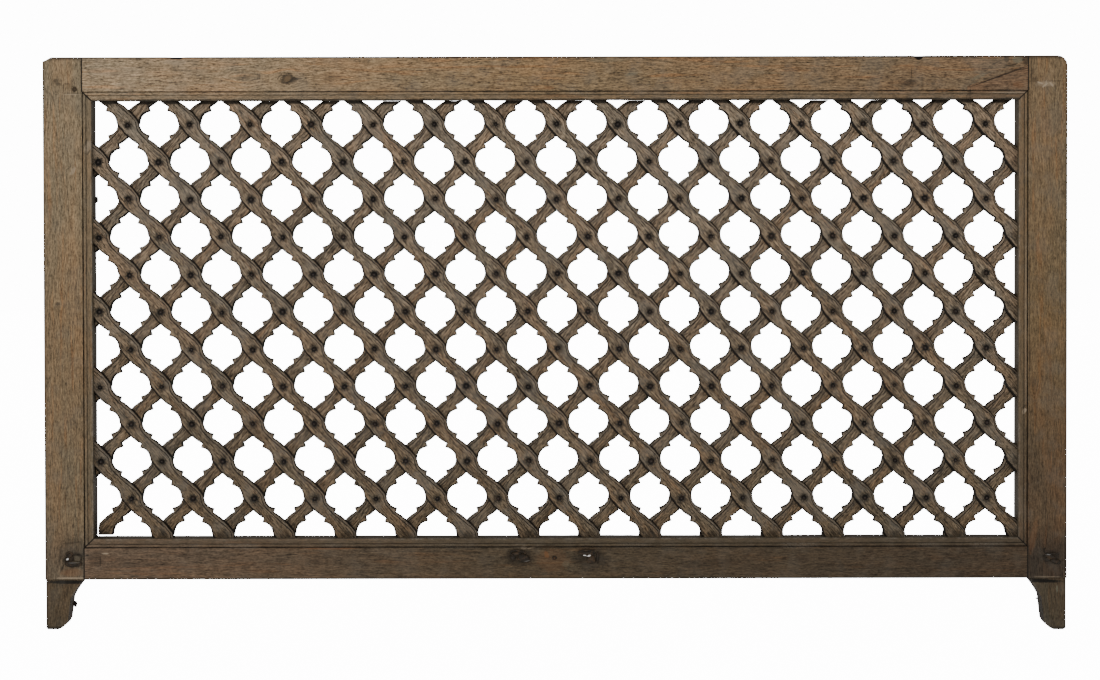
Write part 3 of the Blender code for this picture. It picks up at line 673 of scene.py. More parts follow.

# Stains and scuffs on the front, and painted shadows along the tops of the feet, in millimetres and degrees:
# (colour, x, z, half length, half width, turn, strength)
MITRE_DIRT = ("soot", -702.6, -25.7, 10.0, 1.3, -45, 0.95)
MEND_DIRT = ("soot", 666.8, 1.7, 48.0, 1.2, 20, 0.85)
STAINS = {
    "top_rail": [
        ("soot", -401.5, -0.5, 10.8, 9.6, 30, 0.66), ("soot", -391.5, -2.0, 7.5, 4.5, 20, 0.62),
        ("top_rail_middle", -401.0, -0.5, 5.8, 4.6, 30, 0.72), ("soot", -413.0, 3.0, 6.0, 1.2, 50, 0.55),
        ("soot", -402.0, 7.8, 7.0, 1.2, 0, 0.50), ("soot", -399.5, -5.0, 5.0, 1.4, 20, 0.60),
        ("soot", -385.0, -0.5, 13.0, 0.8, 6, 0.75), MITRE_DIRT, ("soot", -378.0, -4.0, 10.0, 0.5, -4, 0.60),
        ("soot", -464.0, 2.2, 7.5, 1.2, 8, 0.45), ("soot", -330.0, 2.6, 16.0, 0.9, 3, 0.40),
        ("soot", -312.0, -2.0, 9.0, 0.8, -6, 0.40), ("soot", 534.0, 5.6, 8.5, 0.5, 88, 0.80),
        ("soot", 529.0, -8.0, 10.0, 4.0, 10, 0.45), ("rust", -9.0, -15.0, 9.0, 2.8, 0, 0.35),
        ("soot", -5.0, -22.5, 12.0, 2.2, 0, 0.40), ("lichen", 80.0, 27.0, 33.0, 4.0, 2, 0.35),
        ("lichen", 115.0, 6.0, 10.0, 3.0, 12, 0.40), ("lichen", 693.0, 26.2, 8.5, 5.8, 0, 0.60),
        ("soot", 705.5, 25.5, 5.5, 7.2, 0, 0.65), ("soot", 676.5, 27.0, 4.5, 5.0, 30, 0.60),
        ("soot", 685.0, 18.5, 12.0, 1.2, 14, 0.60), ("soot", 712.0, 12.0, 20.0, 1.3, 92, 0.65), MEND_DIRT,
        ("soot", 660.0, 21.0, 10.0, 1.0, 25, 0.60), ("lichen", 635.0, 1.0, 13.0, 3.0, 22, 0.45),
        ("dry", -568.0, 25.0, 20.0, 5.0, 0, 0.25), ("dry", -650.0, 10.0, 40.0, 9.0, 0, 0.18),
    ],
    "top_rail_patch": [
        ("rust", 695.0, -12.0, 10.0, 5.0, 0, 0.25), ("soot", 645.0, -14.0, 14.0, 3.0, 0, 0.25), MEND_DIRT,
        ("soot", 622.2, -23.0, 9.0, 1.0, 90, 0.60), ("soot", 712.2, -8.0, 16.0, 1.3, 88, 0.70),
        ("dry", 678.0, -22.8, 30.0, 0.9, 0, 0.45),
    ],
    "left_stile": [
        ("soot", -748.5, -4.3, 5.0, 4.5, 0, 0.35), ("soot", -721.5, -15.0, 6.8, 5.2, 0, 0.35), MITRE_DIRT,
        ("soot", -736.5, -13.3, 8.5, 0.9, 90, 0.50), ("soot", -724.0, -21.3, 13.5, 0.9, 0, 0.55),
        ("soot", -731.0, -7.5, 5.5, 0.9, 0, 0.50), ("soot", -742.0, -8.0, 3.0, 2.5, 0, 0.45),
        ("dry", -724.0, -23.2, 13.0, 0.8, 0, 0.35), ("soot", -730.0, -10.0, 10.0, 6.0, 0, 0.18),
        ("dry", -702.0, -101.0, 10.0, 4.0, 80, 0.55), ("soot", -704.0, -96.0, 7.0, 1.4, 70, 0.55),
        ("soot", -700.0, -110.0, 6.0, 1.2, 60, 0.60), ("dry", -723.0, -138.0, 8.0, 3.0, 60, 0.40),
        ("soot", -729.0, -133.0, 6.0, 1.2, 40, 0.40), ("soot", -747.0, -337.2, 4.0, 3.0, 0, 0.55),
        ("rust", -727.0, -742.0, 19.0, 6.5, 0, 0.26), ("dry", -729.0, -750.0, 26.0, 1.3, 0, 0.50),
        ("soot", -727.0, -711.0, 22.5, 25.0, 0, 0.30), ("soot", -726.0, -721.5, 16.5, 12.5, 0, 0.55),
        # The first stain on this line is a painted shadow under the upright's shoulder, along the top of the foot.
        ("soot", -733.0, -756.7, 36.0, 3.0, 0, 1.0), ("soot", -745.5, -715.0, 17.0, 2.0, 84, 0.50),
        ("soot", -729.0, -697.0, 15.0, 1.4, 6, 0.35), ("soot", -711.0, -712.0, 12.0, 1.6, 70, 0.40),
        ("soot", -742.0, -734.0, 6.0, 1.4, 60, 0.55),
    ],
    "right_stile": [
        ("soot", 742.0, -6.0, 22.0, 0.6, 1, 0.55), ("dry", 727.0, -8.5, 5.8, 1.4, 160, 0.55),
        ("dry", 734.0, -12.5, 6.2, 1.2, 35, 0.60), ("dry", 736.0, -8.0, 4.0, 1.0, 80, 0.50),
        ("dry", 744.0, -11.0, 5.5, 1.5, 130, 0.50), ("dry", 736.0, -10.0, 15.0, 4.8, 0, 0.26),
        ("soot", 713.8, 4.0, 26.0, 1.0, 90, 0.55), ("soot", 716.0, 9.0, 6.0, 3.0, 80, 0.45),
        ("soot", 719.0, -4.0, 5.0, 4.0, 0, 0.35), ("dry", 707.0, -362.0, 133.0, 3.6, 90, 0.22),
        ("soot", 711.7, -362.0, 133.0, 0.6, 90, 0.65), ("dry", 704.5, -501.0, 5.0, 2.8, 70, 0.65),
        ("soot", 703.0, -495.0, 5.0, 1.0, 40, 0.70), ("soot", 744.0, -721.0, 16.0, 11.5, 0, 0.55),
        # The first stain on this line is a painted shadow under the upright's shoulder, along the top of the foot.
        ("soot", 729.0, -757.2, 38.0, 3.0, -2, 1.0), ("dry", 738.0, -750.5, 22.0, 1.0, 0, 0.20),
        ("lichen", 754.5, -770.0, 6.0, 1.6, 90, 0.60), ("rust", 718.0, -690.0, 30.0, 5.0, 80, 0.20),
    ],
    "bottom_rail": [
        ("rust", -4.5, -725.0, 26.0, 19.0, 0, 0.16), ("rust", -14.0, -716.0, 3.4, 5.5, 20, 0.45),
        ("lichen", 15.0, -730.0, 6.0, 5.0, 0, 0.25), ("soot", -2.3, -720.8, 4.2, 3.6, 0, 0.90),
        ("rust", -2.3, -721.2, 1.5, 1.4, 0, 0.30), ("soot", -55.0, -721.0, 24.0, 15.0, 0, 0.55),
        ("soot", 53.0, -723.0, 28.0, 18.0, 0, 0.50), ("dry", -35.0, -705.0, 9.0, 1.4, 14, 0.26),
        ("dry", -48.0, -705.5, 5.0, 3.0, 0, 0.25), ("dry", -17.0, -690.5, 3.5, 1.2, 0, 0.85),
        ("soot", -12.0, -701.0, 12.0, 1.2, 0, 0.70), ("dry", -678.0, -713.2, 5.5, 1.3, 2, 0.60),
        ("soot", -685.3, -724.0, 8.0, 1.2, 90, 0.60), ("soot", -690.0, -721.5, 15.0, 12.0, 0, 0.32),
        ("soot", -705.0, -715.7, 3.0, 1.1, 0, 0.90), ("soot", -630.0, -730.0, 50.0, 4.0, 1, 0.30),
        ("soot", 230.0, -730.0, 50.0, 8.0, 0, 0.25), ("rust", -340.0, -706.0, 45.0, 1.6, 0, 0.40),
    ],
}


def merged_copy(node_name):
    """A copy of a solid's mesh, with its points joined and its flat faces whole again."""
    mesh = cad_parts[node_name].data.copy()
    mesh.materials.clear()
    piece = bpy.data.objects.new(node_name + "_copy", mesh)
    bpy.context.scene.collection.objects.link(piece)
    only(piece)
    bpy.ops.mesh.customdata_custom_splitnormals_clear()
    edit_all(piece)
    bpy.ops.mesh.remove_doubles(threshold=SAME_POINT)
    bpy.ops.mesh.dissolve_limited(angle_limit=math.radians(0.5))
    done()
    return piece


def push_ends_home(piece):
    """Pushes a rail's ends across the joint's gap, so that no light shows through it."""
    for vert in piece.data.vertices:
        if abs(vert.co.x) > OPENING_HALF - 0.003:
            vert.co.x += math.copysign(JOINT_GAP + 0.00003, vert.co.x)


def fill_notch(mend, growth=0.0013):
    """Grows the mend into the rail's notch along its slope and its left end, so that no light shows between."""
    left = min(vert.co.x for vert in mend.data.vertices)
    for vert in mend.data.vertices:
        if vert.co.x < left + 0.0005:
            vert.co.x -= growth
        if vert.co.z > OPENING_TOP + MOULDING_WIDTH + 0.001:
            vert.co.z += growth


def beside_a_joint(place, along_x):
    """Whether a place lies in the faces where a rail and an upright meet."""
    if along_x:
        return abs(place.x) > OPENING_HALF - 0.002
    level_with_a_rail = place.z > OPENING_TOP or FRAME_BOTTOM < place.z < OPENING_BOTTOM
    return abs(place.x) < OPENING_HALF + MOULDING_WIDTH + 0.001 and level_with_a_rail


def round_arrises(piece, along_x):
    """Rounds the long outer edges of a frame member."""
    shape = bmesh.new()
    shape.from_mesh(piece.data)
    chosen = []
    for edge in shape.edges:
        middle = (edge.verts[0].co + edge.verts[1].co) / 2
        in_reveal = (abs(middle.x) < OPENING_HALF + 0.004
                     and OPENING_BOTTOM - 0.004 < middle.z < OPENING_TOP + 0.004
                     and FACE_Y + 0.006 < middle.y < -0.001)
        chosen.append(len(edge.link_faces) == 2 and edge.calc_face_angle() > math.radians(50)
                      and edge.calc_length() > 0.012 and not in_reveal and not beside_a_joint(middle, along_x))
    shape.free()
    edit_all(piece)
    bpy.ops.mesh.select_mode(type="EDGE")
    bpy.ops.mesh.select_all(action="DESELECT")
    done()
    for edge, wanted in zip(piece.data.edges, chosen):
        edge.select = wanted
    bpy.ops.object.mode_set(mode="EDIT")
    bpy.ops.mesh.bevel(offset=sizes().arris_round, offset_type="OFFSET", segments=2, profile=0.5, affect="EDGES",
                       clamp_overlap=True)
    done()


def slice_up(axis, places):
    """Cuts edge loops through the mesh in edit mode at the given places along an axis."""
    for place in places:
        bpy.ops.mesh.select_all(action="SELECT")
        bpy.ops.mesh.bisect(plane_co=[place * (axis == own) for own in range(3)],
                            plane_no=[float(axis == own) for own in range(3)], threshold=SAME_POINT)


def steps(low, high, pace, fine=()):
    """Places from low to high at an even pace, and finer ones round each (place, reach) in fine."""
    count = max(1, round((high - low) / pace))
    places = [low + (high - low) * index / count for index in range(1, count)]
    for middle, reach in fine:
        places += [middle - reach + PACE_FINE * index for index in range(int(2 * reach / PACE_FINE) + 1)]
    kept = []
    for place in sorted(place for place in places if low < place < high):
        if not kept or place - kept[-1] > CLOSEST_CUTS:
            kept.append(place)
    return kept


def knot_bend(x, z, along_x, knots):
    """How far the grain swerves across itself at a place, and how dark a knot makes it there."""
    swerve = dark = 0.0
    for knot_x, knot_z, half_length, half_width, darkness in knots:
        along, across = (x - knot_x, z - knot_z) if along_x else (z - knot_z, x - knot_x)
        near = math.exp(-(along / (half_length * 1.8)) ** 2)
        swerve += -math.copysign(half_width * 0.9, across) * near * math.exp(-(across / (half_width * 2.6)) ** 2)
        rim = math.hypot(along / half_length, across / half_width)
        dark = max(dark, darkness * (1 - ramp(rim, 0.45, 1.15)))
    return swerve, dark


def beyond_outline(place, along_x):
    """How far a place lies outside the frame's straight outer edges, and less than 0 inside them."""
    foot = FRAME_BOTTOM if along_x else (LEFT_SOLE_Z if place.x < 0 else RIGHT_SOLE_Z)
    return max(abs(place.x) - PANEL_HALF, place.z - FRAME_TOP, foot - place.z)


def dirt_and_shade_on_member(place, normal, along_x):
    """Soft darkening on a frame member: dirt and painted shade along its outer arrises, painted shade deep in the
    reveals, stronger in the left reveal, which faces away from the light, and painted shade under the bottom rail and
    on the feet's soles and inner sides.
    """
    # Dirt and painted shade along the outer arrises.
    edge = ramp(beyond_outline(place, along_x), -0.0028, -0.0012) * (place.y < FACE_Y + 0.010)
    in_opening = abs(place.x) < OPENING_HALF + 0.002 and OPENING_BOTTOM - 0.002 < place.z < OPENING_TOP + 0.002
    inside = foot = 0.0
    # Painted shade deep in the reveals, darker in the left reveal, which faces away from the light.
    if in_opening and abs(normal.y) < 0.5:
        away_from_light = 0.60 if place.x < -OPENING_HALF + 0.01 else 0.35
        inside = away_from_light * ramp(place.y, FACE_Y + 0.004, FACE_Y + 0.030)
    # Painted shade under the bottom rail and on the feet's soles and inner sides.
    if place.z < FRAME_BOTTOM + 0.0005 and abs(normal.y) < 0.7 and abs(place.x) < PANEL_HALF - 0.004:
        foot = 0.6
    return max(edge, inside, foot)


def frame_member(node_name, name, material, offset):
    """A weathered frame member on the form of its solid."""
    along_x = "rail" in node_name
    piece = merged_copy(node_name)
    if along_x:
        push_ends_home(piece)
    if node_name == "top_rail_patch":
        fill_notch(piece)
    round_arrises(piece, along_x)
    low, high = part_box(node_name)
    knots, chips = KNOTS.get(node_name, []), CHIPS.get(node_name, [])
    fine_x = [(x, half * 1.2) for x, z, half, wide, dark in knots if along_x]
    fine_x += [(x, radius * 1.1) for x, z, radius, sunk, lowered in chips]
    fine_z = [(z, half * 1.2) for x, z, half, wide, dark in knots if not along_x]
    fine_z += [(z, radius * 1.1) for x, z, radius, sunk, lowered in chips if not along_x]
    pace_x, pace_z = (PACE_ALONG, PACE_ACROSS) if along_x else (PACE_ACROSS, PACE_ALONG)
    edit_all(piece)
    slice_up(0, steps(low.x, high.x, pace_x, fine_x))
    slice_up(2, steps(low.z, high.z, pace_z, fine_z))
    slice_up(1, steps(low.y, high.y, PACE_IN_DEPTH))
    done()

    shape = bmesh.new()
    shape.from_mesh(piece.data)
    shape.normal_update()
    moves, grains, marks = [], [], []
    stretch_broad = (6, 25, 25) if along_x else (25, 25, 6)
    stretch_ridge = (14, 90, 90) if along_x else (90, 90, 14)
    amount = sizes().surface_wave
    for vert in shape.verts:
        place = vert.co
        on_arris = ramp(max((edge.calc_face_angle(0.0) for edge in vert.link_edges), default=0.0), 0.25, 0.6)
        in_joint = beside_a_joint(place, along_x) and abs(vert.normal.y) < 0.95
        height = amount * 0.7 * wave(place, stretch_broad, offset) + amount * 0.45 * wave(place, stretch_ridge, 7)
        chip_depth = 0.0010 if OPENING_TOP - 0.002 < place.z < OPENING_TOP + 0.004 else 0.0008
        chipping = max(0.0, wave(place, (70, 40, 70), offset + 3) - 0.12) * chip_depth * on_arris
        move = vert.normal * (height - amount * 0.4 - chipping) * (not in_joint)
        if beyond_outline(place, along_x) > -0.004 or place.z < FRAME_BOTTOM + 0.001:
            move.x = move.z = 0.0
        for x, z, radius, sunk, lowered in chips:
            away = (place - Vector((x, FACE_Y, z))).length
            move += Vector((0, sunk, -lowered)) * (1 - ramp(away, 0.0, radius * 1.6))
        moves.append(move)

        swerve, dark = knot_bend(place.x, place.z, along_x, knots) if place.y <= FACE_Y + 0.006 else (0.0, 0.0)
        along, across = (place.x, place.z) if along_x else (place.z, place.x)
        grains.append((along + offset * 3.7, (across + swerve) * 1.2 + offset, place.y * 1.5))
        in_moulding = max(abs(place.x) - OPENING_HALF, place.z - OPENING_TOP, OPENING_BOTTOM - place.z)
        on_rim = ramp(in_moulding, 0.003, 0.0005) * (place.y < FACE_Y + 0.012)
        rubbed = max(on_arris * ramp(wave(place, (30, 30, 30), 2), -0.1, 0.5) * (place.y < FACE_Y + 0.008) * 0.6,
                     on_rim * ramp(wave(place, (120, 60, 120), 4), -0.2, 0.4) * 0.9)
        marks.append((dirt_and_shade_on_member(place, vert.normal, along_x), rubbed, dark))
    for vert, move in zip(shape.verts, moves):
        vert.co += move
    shape.to_mesh(piece.data)
    shape.free()
    write_attribute(piece.data, "grain", grains)
    write_attribute(piece.data, "marks", marks)
    smooth(piece, 32)
    settle(piece, name, material, [node_name])


# Lattice

def run_per_row(hand):
    return PITCH_X / 2 + hand * LATTICE_LEAN


def crossing_spacing(hand):
    return math.hypot(run_per_row(hand), ROW_STEP)


def slat_lean(hand):
    """A slat's angle, from upright."""
    return math.atan2(run_per_row(hand), ROW_STEP)


# A slat's edge between two crossings, as (share of the way from the midpoint, share of the named size)
# The lower edge runs in to a notch, out to a nib, round a cove and out again
LOWER_EDGE = (
    ("crossing_half", (-1.00, 1.00), (-0.86, 1.00), (-0.72, 0.985), (-0.57, 0.942), (-0.42, 0.882), (-0.29, 0.814),
     (-0.15, 0.70), (-0.045, 0.596)),
    ("nib_reach", (0.046, 1.00), (0.095, 0.945), (0.15, 0.835), (0.20, 0.765)),
    ("cove_half", (0.32, 1.00), (0.46, 1.00), (0.60, 1.20)),
    ("crossing_half", (0.72, 0.930), (0.80, 0.985), (0.90, 1.00), (1.00, 1.00)),
)
# The same edge with its nib left off, which the face follows along the upper side
SMOOTH_EDGE = (
    ("crossing_half", (-1.0, 1.0), (-0.86, 1.0), (-0.60, 0.93), (-0.30, 0.80)),
    ("cove_half", (0.0, 1.08), (0.3, 0.99), (0.46, 1.0), (0.62, 1.2)),
    ("crossing_half", (0.76, 0.95), (0.90, 1.0), (1.0, 1.0)),
)
STATIONS = (0.0, 0.046, 0.075, 0.11, 0.15, 0.20, 0.26, 0.32, 0.39, 0.46, 0.53, 0.60, 0.66, 0.72, 0.79, 0.86, 0.93, 1.0)


def reach_at(edge, place):
    """How far an edge stands from the slat's middle line. place is -1 and 1 at the crossings."""
    points = [(at, getattr(sizes(), size) * share) for size, *pairs in edge for at, share in pairs]
    for (left, low), (right, high) in zip(points, points[1:]):
        if place <= right:
            return low + (high - low) * (place - left) / (right - left)
    return points[-1][1]


def section(share_from_crossing, near_y, far_y):
    """(v, y, distance from the outline, dryness) points round a slat where it is cut across. Near the outline, dirt and
    painted shade darken the slat; the dryness lightens the upper slope as painted light.

    share_from_crossing runs from -1 to 1.
    """
    place = share_from_crossing - math.copysign(1.0, share_from_crossing)
    lower, upper = reach_at(LOWER_EDGE, place), reach_at(LOWER_EDGE, -place)
    over_crossing = 1 - ramp(abs(share_from_crossing), 0.10, 0.34)
    face_upper = reach_at(SMOOTH_EDGE, -place) - sizes().upper_slope * (0.72 + 0.28 * (1 - over_crossing))
    face_lower = lower - 0.0006
    middle = (face_upper - face_lower) / 2
    half = (face_upper + face_lower) / 2
    room = upper - face_upper
    return [
        # The lower wall and the face's lower rim lie at the outline, which dirt and painted shade darken.
        (-lower, far_y, 0.0014, 0.0),
        (-lower, near_y + 0.0045, 0.0006, 0.0),
        (-lower, near_y + 0.0011, 0.0, 0.0),
        (-face_lower, near_y + 0.00025, 0.0006, 0.0),
        (-face_lower + 0.0014, near_y, 0.0021, 0.1),
        (middle - half * 0.45, near_y - 0.0001, 0.0080, 0.0),
        (middle, near_y - 0.0002, 0.0100, 0.0),
        (middle + half * 0.45, near_y - 0.0001, 0.0080, 0.0),
        (face_upper - 0.0010, near_y, 0.0045, 0.3),
        (face_upper, near_y + 0.0005, 0.0004, 0.0),
        # The upper slope is marked dry, which lightens it as painted light.
        (face_upper + room * 0.24, near_y + 0.0015, 0.0048, 0.8),
        (face_upper + room * 0.58, near_y + 0.0034, 0.0038, 0.8),
        (upper, near_y + 0.0066, 0.0, 0.0),
        (upper, far_y, 0.0014, 0.0),
        (middle, far_y, 0.0100, 0.0),
    ]


def slat_stretch(hand):
    """One stretch of a slat from midpoint to midpoint, with the crossing in its middle."""
    shares = sorted({side * (1.0 - place) for place in STATIONS for side in (-1, 1)})
    sections = [section(share if abs(share) > 1e-6 else 1e-6, *LAYER_Y[hand]) for share in shares]
    count, around = len(shares) - 1, len(sections[0])
    bpy.ops.object.select_all(action="DESELECT")
    bpy.ops.mesh.primitive_grid_add(x_subdivisions=count, y_subdivisions=around, size=1.0, location=(0, 0, 0))
    piece = bpy.context.object
    rims = []
    for vert in piece.data.vertices:
        station = round((vert.co.x + 0.5) * count)
        v, y, from_outline, dry = sections[station][round((vert.co.y + 0.5) * around) % around]
        vert.co = (shares[station] * crossing_spacing(hand) / 2, y, v * hand)
        rims.append((from_outline, dry, 0.0))
    write_attribute(piece.data, "rims", rims)
    edit_all(piece)
    bpy.ops.mesh.remove_doubles(threshold=0.00001)
    done()
    return piece


def slat_lines():
    """{node name: (hand, line number)} of every slat."""
    lines = {}
    for layer, hand in (("front", FRONT), ("back", BACK)):
        for number in NUMBERS[hand]:
            side = "middle" if number == 0 else f"{'left' if number < 0 else 'right'}_{abs(number):02d}"
            lines[f"{layer}_slat_{side}"] = (hand, number)
    return lines


# Broken ends that stop short, as (distance from the stile, distance from the bottom rail)
SHORT_ENDS = {"back_slat_left_02": (0.0034, 0.0030), "back_slat_right_05": (0.0003, 0.0048)}


def cut_ends(piece, node_name, hand):
    """Cuts a slat square to the opening and closes the cuts."""
    growth = POCKET_DEPTH if hand == FRONT else -JOINT_GAP
    at_side, at_foot = SHORT_ENDS.get(node_name, (-growth, -growth))
    edit_all(piece)
    for place, outward in (
        ((-OPENING_HALF + at_side, 0, 0), (-1, 0, 0)),
        ((OPENING_HALF + growth, 0, 0), (1, 0, 0)),
        ((0, 0, OPENING_BOTTOM + at_foot), (0, 0, -1)),
        ((0, 0, OPENING_TOP + growth), (0, 0, 1)),
    ):
        bpy.ops.mesh.select_all(action="SELECT")
        bpy.ops.mesh.bisect(plane_co=place, plane_no=outward, use_fill=True, clear_outer=True, threshold=0.00001)
    done()


def drop_crumbs(piece):
    """Drops the crumbs that a cut through a nib can leave beside the slat."""
    shape = bmesh.new()
    shape.from_mesh(piece.data)
    left = set(shape.verts)
    bodies = []
    while left:
        body = [left.pop()]
        for vert in body:
            for edge in vert.link_edges:
                other = edge.other_vert(vert)
                if other in left:
                    left.remove(other)
                    body.append(other)
        bodies.append(body)
    bodies.sort(key=len)
    bmesh.ops.delete(shape, geom=[vert for body in bodies[:-1] for vert in body], context="VERTS")
    shape.to_mesh(piece.data)
    shape.free()


def slat(node_name, hand, number, stretch, material, slot):
    """One slat: the modelled stretch repeated, worn by hand, laid on its line and cut to the opening."""
    spacing, lean = crossing_spacing(hand), slat_lean(hand)
    low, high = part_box(node_name)
    first = math.floor((FIRST_ROW_Z - high.z) / ROW_STEP) - 1
    last = math.ceil((FIRST_ROW_Z - low.z) / ROW_STEP) + 1
    piece = twin_of(stretch)
    apply_modifier(piece, "repeat", "ARRAY", use_relative_offset=False, use_constant_offset=True,
                   constant_offset_displace=(spacing, 0.0, 0.0), count=last - first + 1,
                   use_merge_vertices=True, merge_threshold=0.00005)

    rng = random.Random(SEED + hand * 100 + number)
    own = number * 1.37 + hand * 20
    nibs = {}
    wobble = sizes().edge_wobble
    near_y = LAYER_Y[hand][0]
    turn_of_other = slat_lean(FRONT) + slat_lean(BACK)
    nail_along = NAIL_ACROSS * math.sin(lean) + NAIL_DROP * math.cos(lean)
    nail_aside = NAIL_ACROSS * math.cos(lean) - NAIL_DROP * math.sin(lean)
    rims = piece.data.attributes["rims"].data
    grains, marks, lattice = [], [], []
    for index, vert in enumerate(piece.data.vertices):
        from_outline, dry = rims[index].vector[0], rims[index].vector[1]
        s, y, v = vert.co.x + first * spacing, vert.co.y, vert.co.z * hand
        edge = ramp(abs(v), 0.004, 0.008)
        place = ((s / spacing - 0.5) % 1.0) * 2 - 1
        shift = wobble * wave((s, v * 0.5, own), (55, 20, 1), own) * edge
        shift += wobble * 0.8 * wave((s, v, own), (210, 60, 1), own + 5) * edge
        side = 1 if v > 0 else -1
        at_nib = math.exp(-((place * side * -1 - 0.06) / 0.10) ** 2) if from_outline < 0.001 else 0.0
        if at_nib > 0.02:
            key = (round(s / spacing - 0.5), side)
            if key not in nibs:
                nibs[key] = rng.choice(NIB_LOSSES) * rng.uniform(0.5, 1.0)
            shift -= side * at_nib * NIB_LENGTH * nibs[key]
        dip = 0.0
        if y < near_y + 0.003:
            dip = TOOL_DIP * max(0.0, wave((s, v, own), (22, 210, 1), own + 9))
            dip += TOOL_DIP * (wave((s, v, own), (30, 60, 1), own + 2) + 0.3)
        vert.co = (s, y + max(dip, -0.0002), (v + shift) * hand)
        grains.append((s + own * 0.61, v * 1.5 + own * 0.83, y * 1.5 + own))
        row = round(s / spacing)
        from_crossing = s - row * spacing
        on_face = y < near_y + 0.0025
        crosses = number + hand * row in NUMBERS[-hand]
        to_other = abs(from_crossing * math.sin(turn_of_other) + v * math.cos(turn_of_other))
        lattice.append((abs(from_crossing - nail_along) + (0.0 if on_face else 0.05), v - nail_aside,
                        to_other if on_face and crosses else 0.05))
        height = FIRST_ROW_Z - s / spacing * ROW_STEP
        broken_end = 0.75 * ramp(OPENING_BOTTOM + 0.014 - height, 0.0, 0.010) * (node_name in SHORT_ENDS)
        # The dryness is painted light on the upper slope; the distance from the outline drives dirt and painted shade.
        marks.append((broken_end, dry, from_outline))
    write_attribute(piece.data, "grain", grains)
    write_attribute(piece.data, "marks", marks)
    write_attribute(piece.data, "lattice", lattice)
    piece.data.attributes.remove(piece.data.attributes["rims"])

    turn = math.atan2(ROW_STEP, hand * run_per_row(hand))
    piece.matrix_world = (Matrix.Translation((LATTICE_OFFSET + number * PITCH_X, 0, FIRST_ROW_Z))
                          @ Matrix.Rotation(turn, 4, "Y"))
    apply_turn(piece)
    cut_ends(piece, node_name, hand)
    drop_crumbs(piece)
    face_outwards(piece)
    smooth(piece, 48)
    settle(piece, "carved_" + node_name, material, [node_name])


# Nails and iron

# A rosette from its rim to its middle: (petal, hollow between petals) radii and rises, as shares
NAIL_RINGS = (
    ((1.00, 0.60), (0.00, 0.00)), ((0.90, 0.54), (0.42, 0.05)), ((0.70, 0.52), (0.42, 0.08)),
    ((0.56, 0.50), (0.22, 0.08)), ((0.46, 0.46), (0.08, 0.08)), ((0.34, 0.34), (0.72, 0.72)),
    ((0.22, 0.22), (1.00, 1.00)), ((0.06, 0.06), (1.12, 1.12)),
)


def rosette():
    """One rosette nail with its seat at the origin, facing -Y: petals round a hollow core."""
    sides = sizes().nail_petals * 2
    bpy.ops.object.select_all(action="DESELECT")
    bpy.ops.mesh.primitive_circle_add(vertices=sides, radius=1.0, fill_type="NGON", location=(0, 0, 0),
                                      rotation=(math.radians(90), 0, 0))
    piece = bpy.context.object
    apply_turn(piece)
    start = math.atan2(piece.data.vertices[0].co.z, piece.data.vertices[0].co.x)
    for number, (radii, rises) in enumerate(NAIL_RINGS):
        bpy.ops.object.mode_set(mode="EDIT")
        if number == 0:
            bpy.ops.mesh.select_all(action="SELECT")
        else:
            bpy.ops.mesh.extrude_region_move()
        done()
        for vert in piece.data.vertices:
            if vert.select:
                turn = math.atan2(vert.co.z, vert.co.x)
                hollow = round((turn - start) / (2 * math.pi / sides)) % 2
                across = sizes().nail_radius * radii[hollow]
                vert.co = (across * math.cos(turn), -rises[hollow] * sizes().nail_height, across * math.sin(turn))
    sort_faces(piece)
    face_outwards(piece)
    write_attribute(piece.data, "ring", [(math.hypot(vert.co.x, vert.co.z), 0, 0) for vert in piece.data.vertices])
    return piece


def nail_places(row):
    """The (x, z) of a row's nails, one at each crossing that shows one."""
    shifted = row % 2
    for column in range(-COLUMNS_EACH_SIDE - shifted, COLUMNS_EACH_SIDE + 1 - shifted, 2):
        x = LATTICE_OFFSET + column * PITCH_X / 2 + row * LATTICE_LEAN + NAIL_ACROSS
        yield max(x, -OPENING_HALF + NAIL_FROM_STILE), FIRST_ROW_Z - row * ROW_STEP - NAIL_DROP


def hammered_lump(centre, half_sizes, turn, roughness, seed):
    """A forged lump: a rounded block, hammered out of true. turn is in degrees."""
    bpy.ops.object.select_all(action="DESELECT")
    bpy.ops.mesh.primitive_cube_add(size=2.0, location=(0, 0, 0))
    piece = bpy.context.object
    apply_modifier(piece, "round", "SUBSURF", levels=3, render_levels=3)
    for vert in piece.data.vertices:
        dent = 1 + roughness * wave(vert.co, (1.7, 1.7, 1.7), seed) + roughness * 0.5 * wave(vert.co, (4, 4, 4), seed)
        vert.co = Vector([part * half * 1.15 for part, half in zip(vert.co * dent, half_sizes)])
    piece.matrix_world = Matrix.Translation(centre) @ Matrix.Rotation(math.radians(turn), 4, "Y")
    apply_turn(piece)
    return piece


def bent_bar(path, radius, seed):
    """A forged bar along a path of (x, y, z) points, thinner at its ends."""
    curve = bpy.data.curves.new("bar_path", "CURVE")
    curve.dimensions = "3D"
    curve.bevel_depth = radius
    curve.bevel_resolution = 3
    curve.use_fill_caps = True
    spline = curve.splines.new("NURBS")
    spline.points.add(len(path) - 1)
    for index, (point, place) in enumerate(zip(spline.points, path)):
        point.co = (*place, 1.0)
        point.radius = min(1.0, 0.6 + 0.3 * min(index, len(path) - 1 - index))
    spline.use_endpoint_u = True
    spline.order_u = 4
    spline.resolution_u = 6
    bar = bpy.data.objects.new("bar", curve)
    bpy.context.scene.collection.objects.link(bar)
    only(bar)
    bpy.ops.object.convert(target="MESH")
    bar = bpy.context.object
    for vert in bar.data.vertices:
        vert.co += vert.normal * radius * 0.22 * wave(vert.co, (260, 260, 260), seed)
    return bar


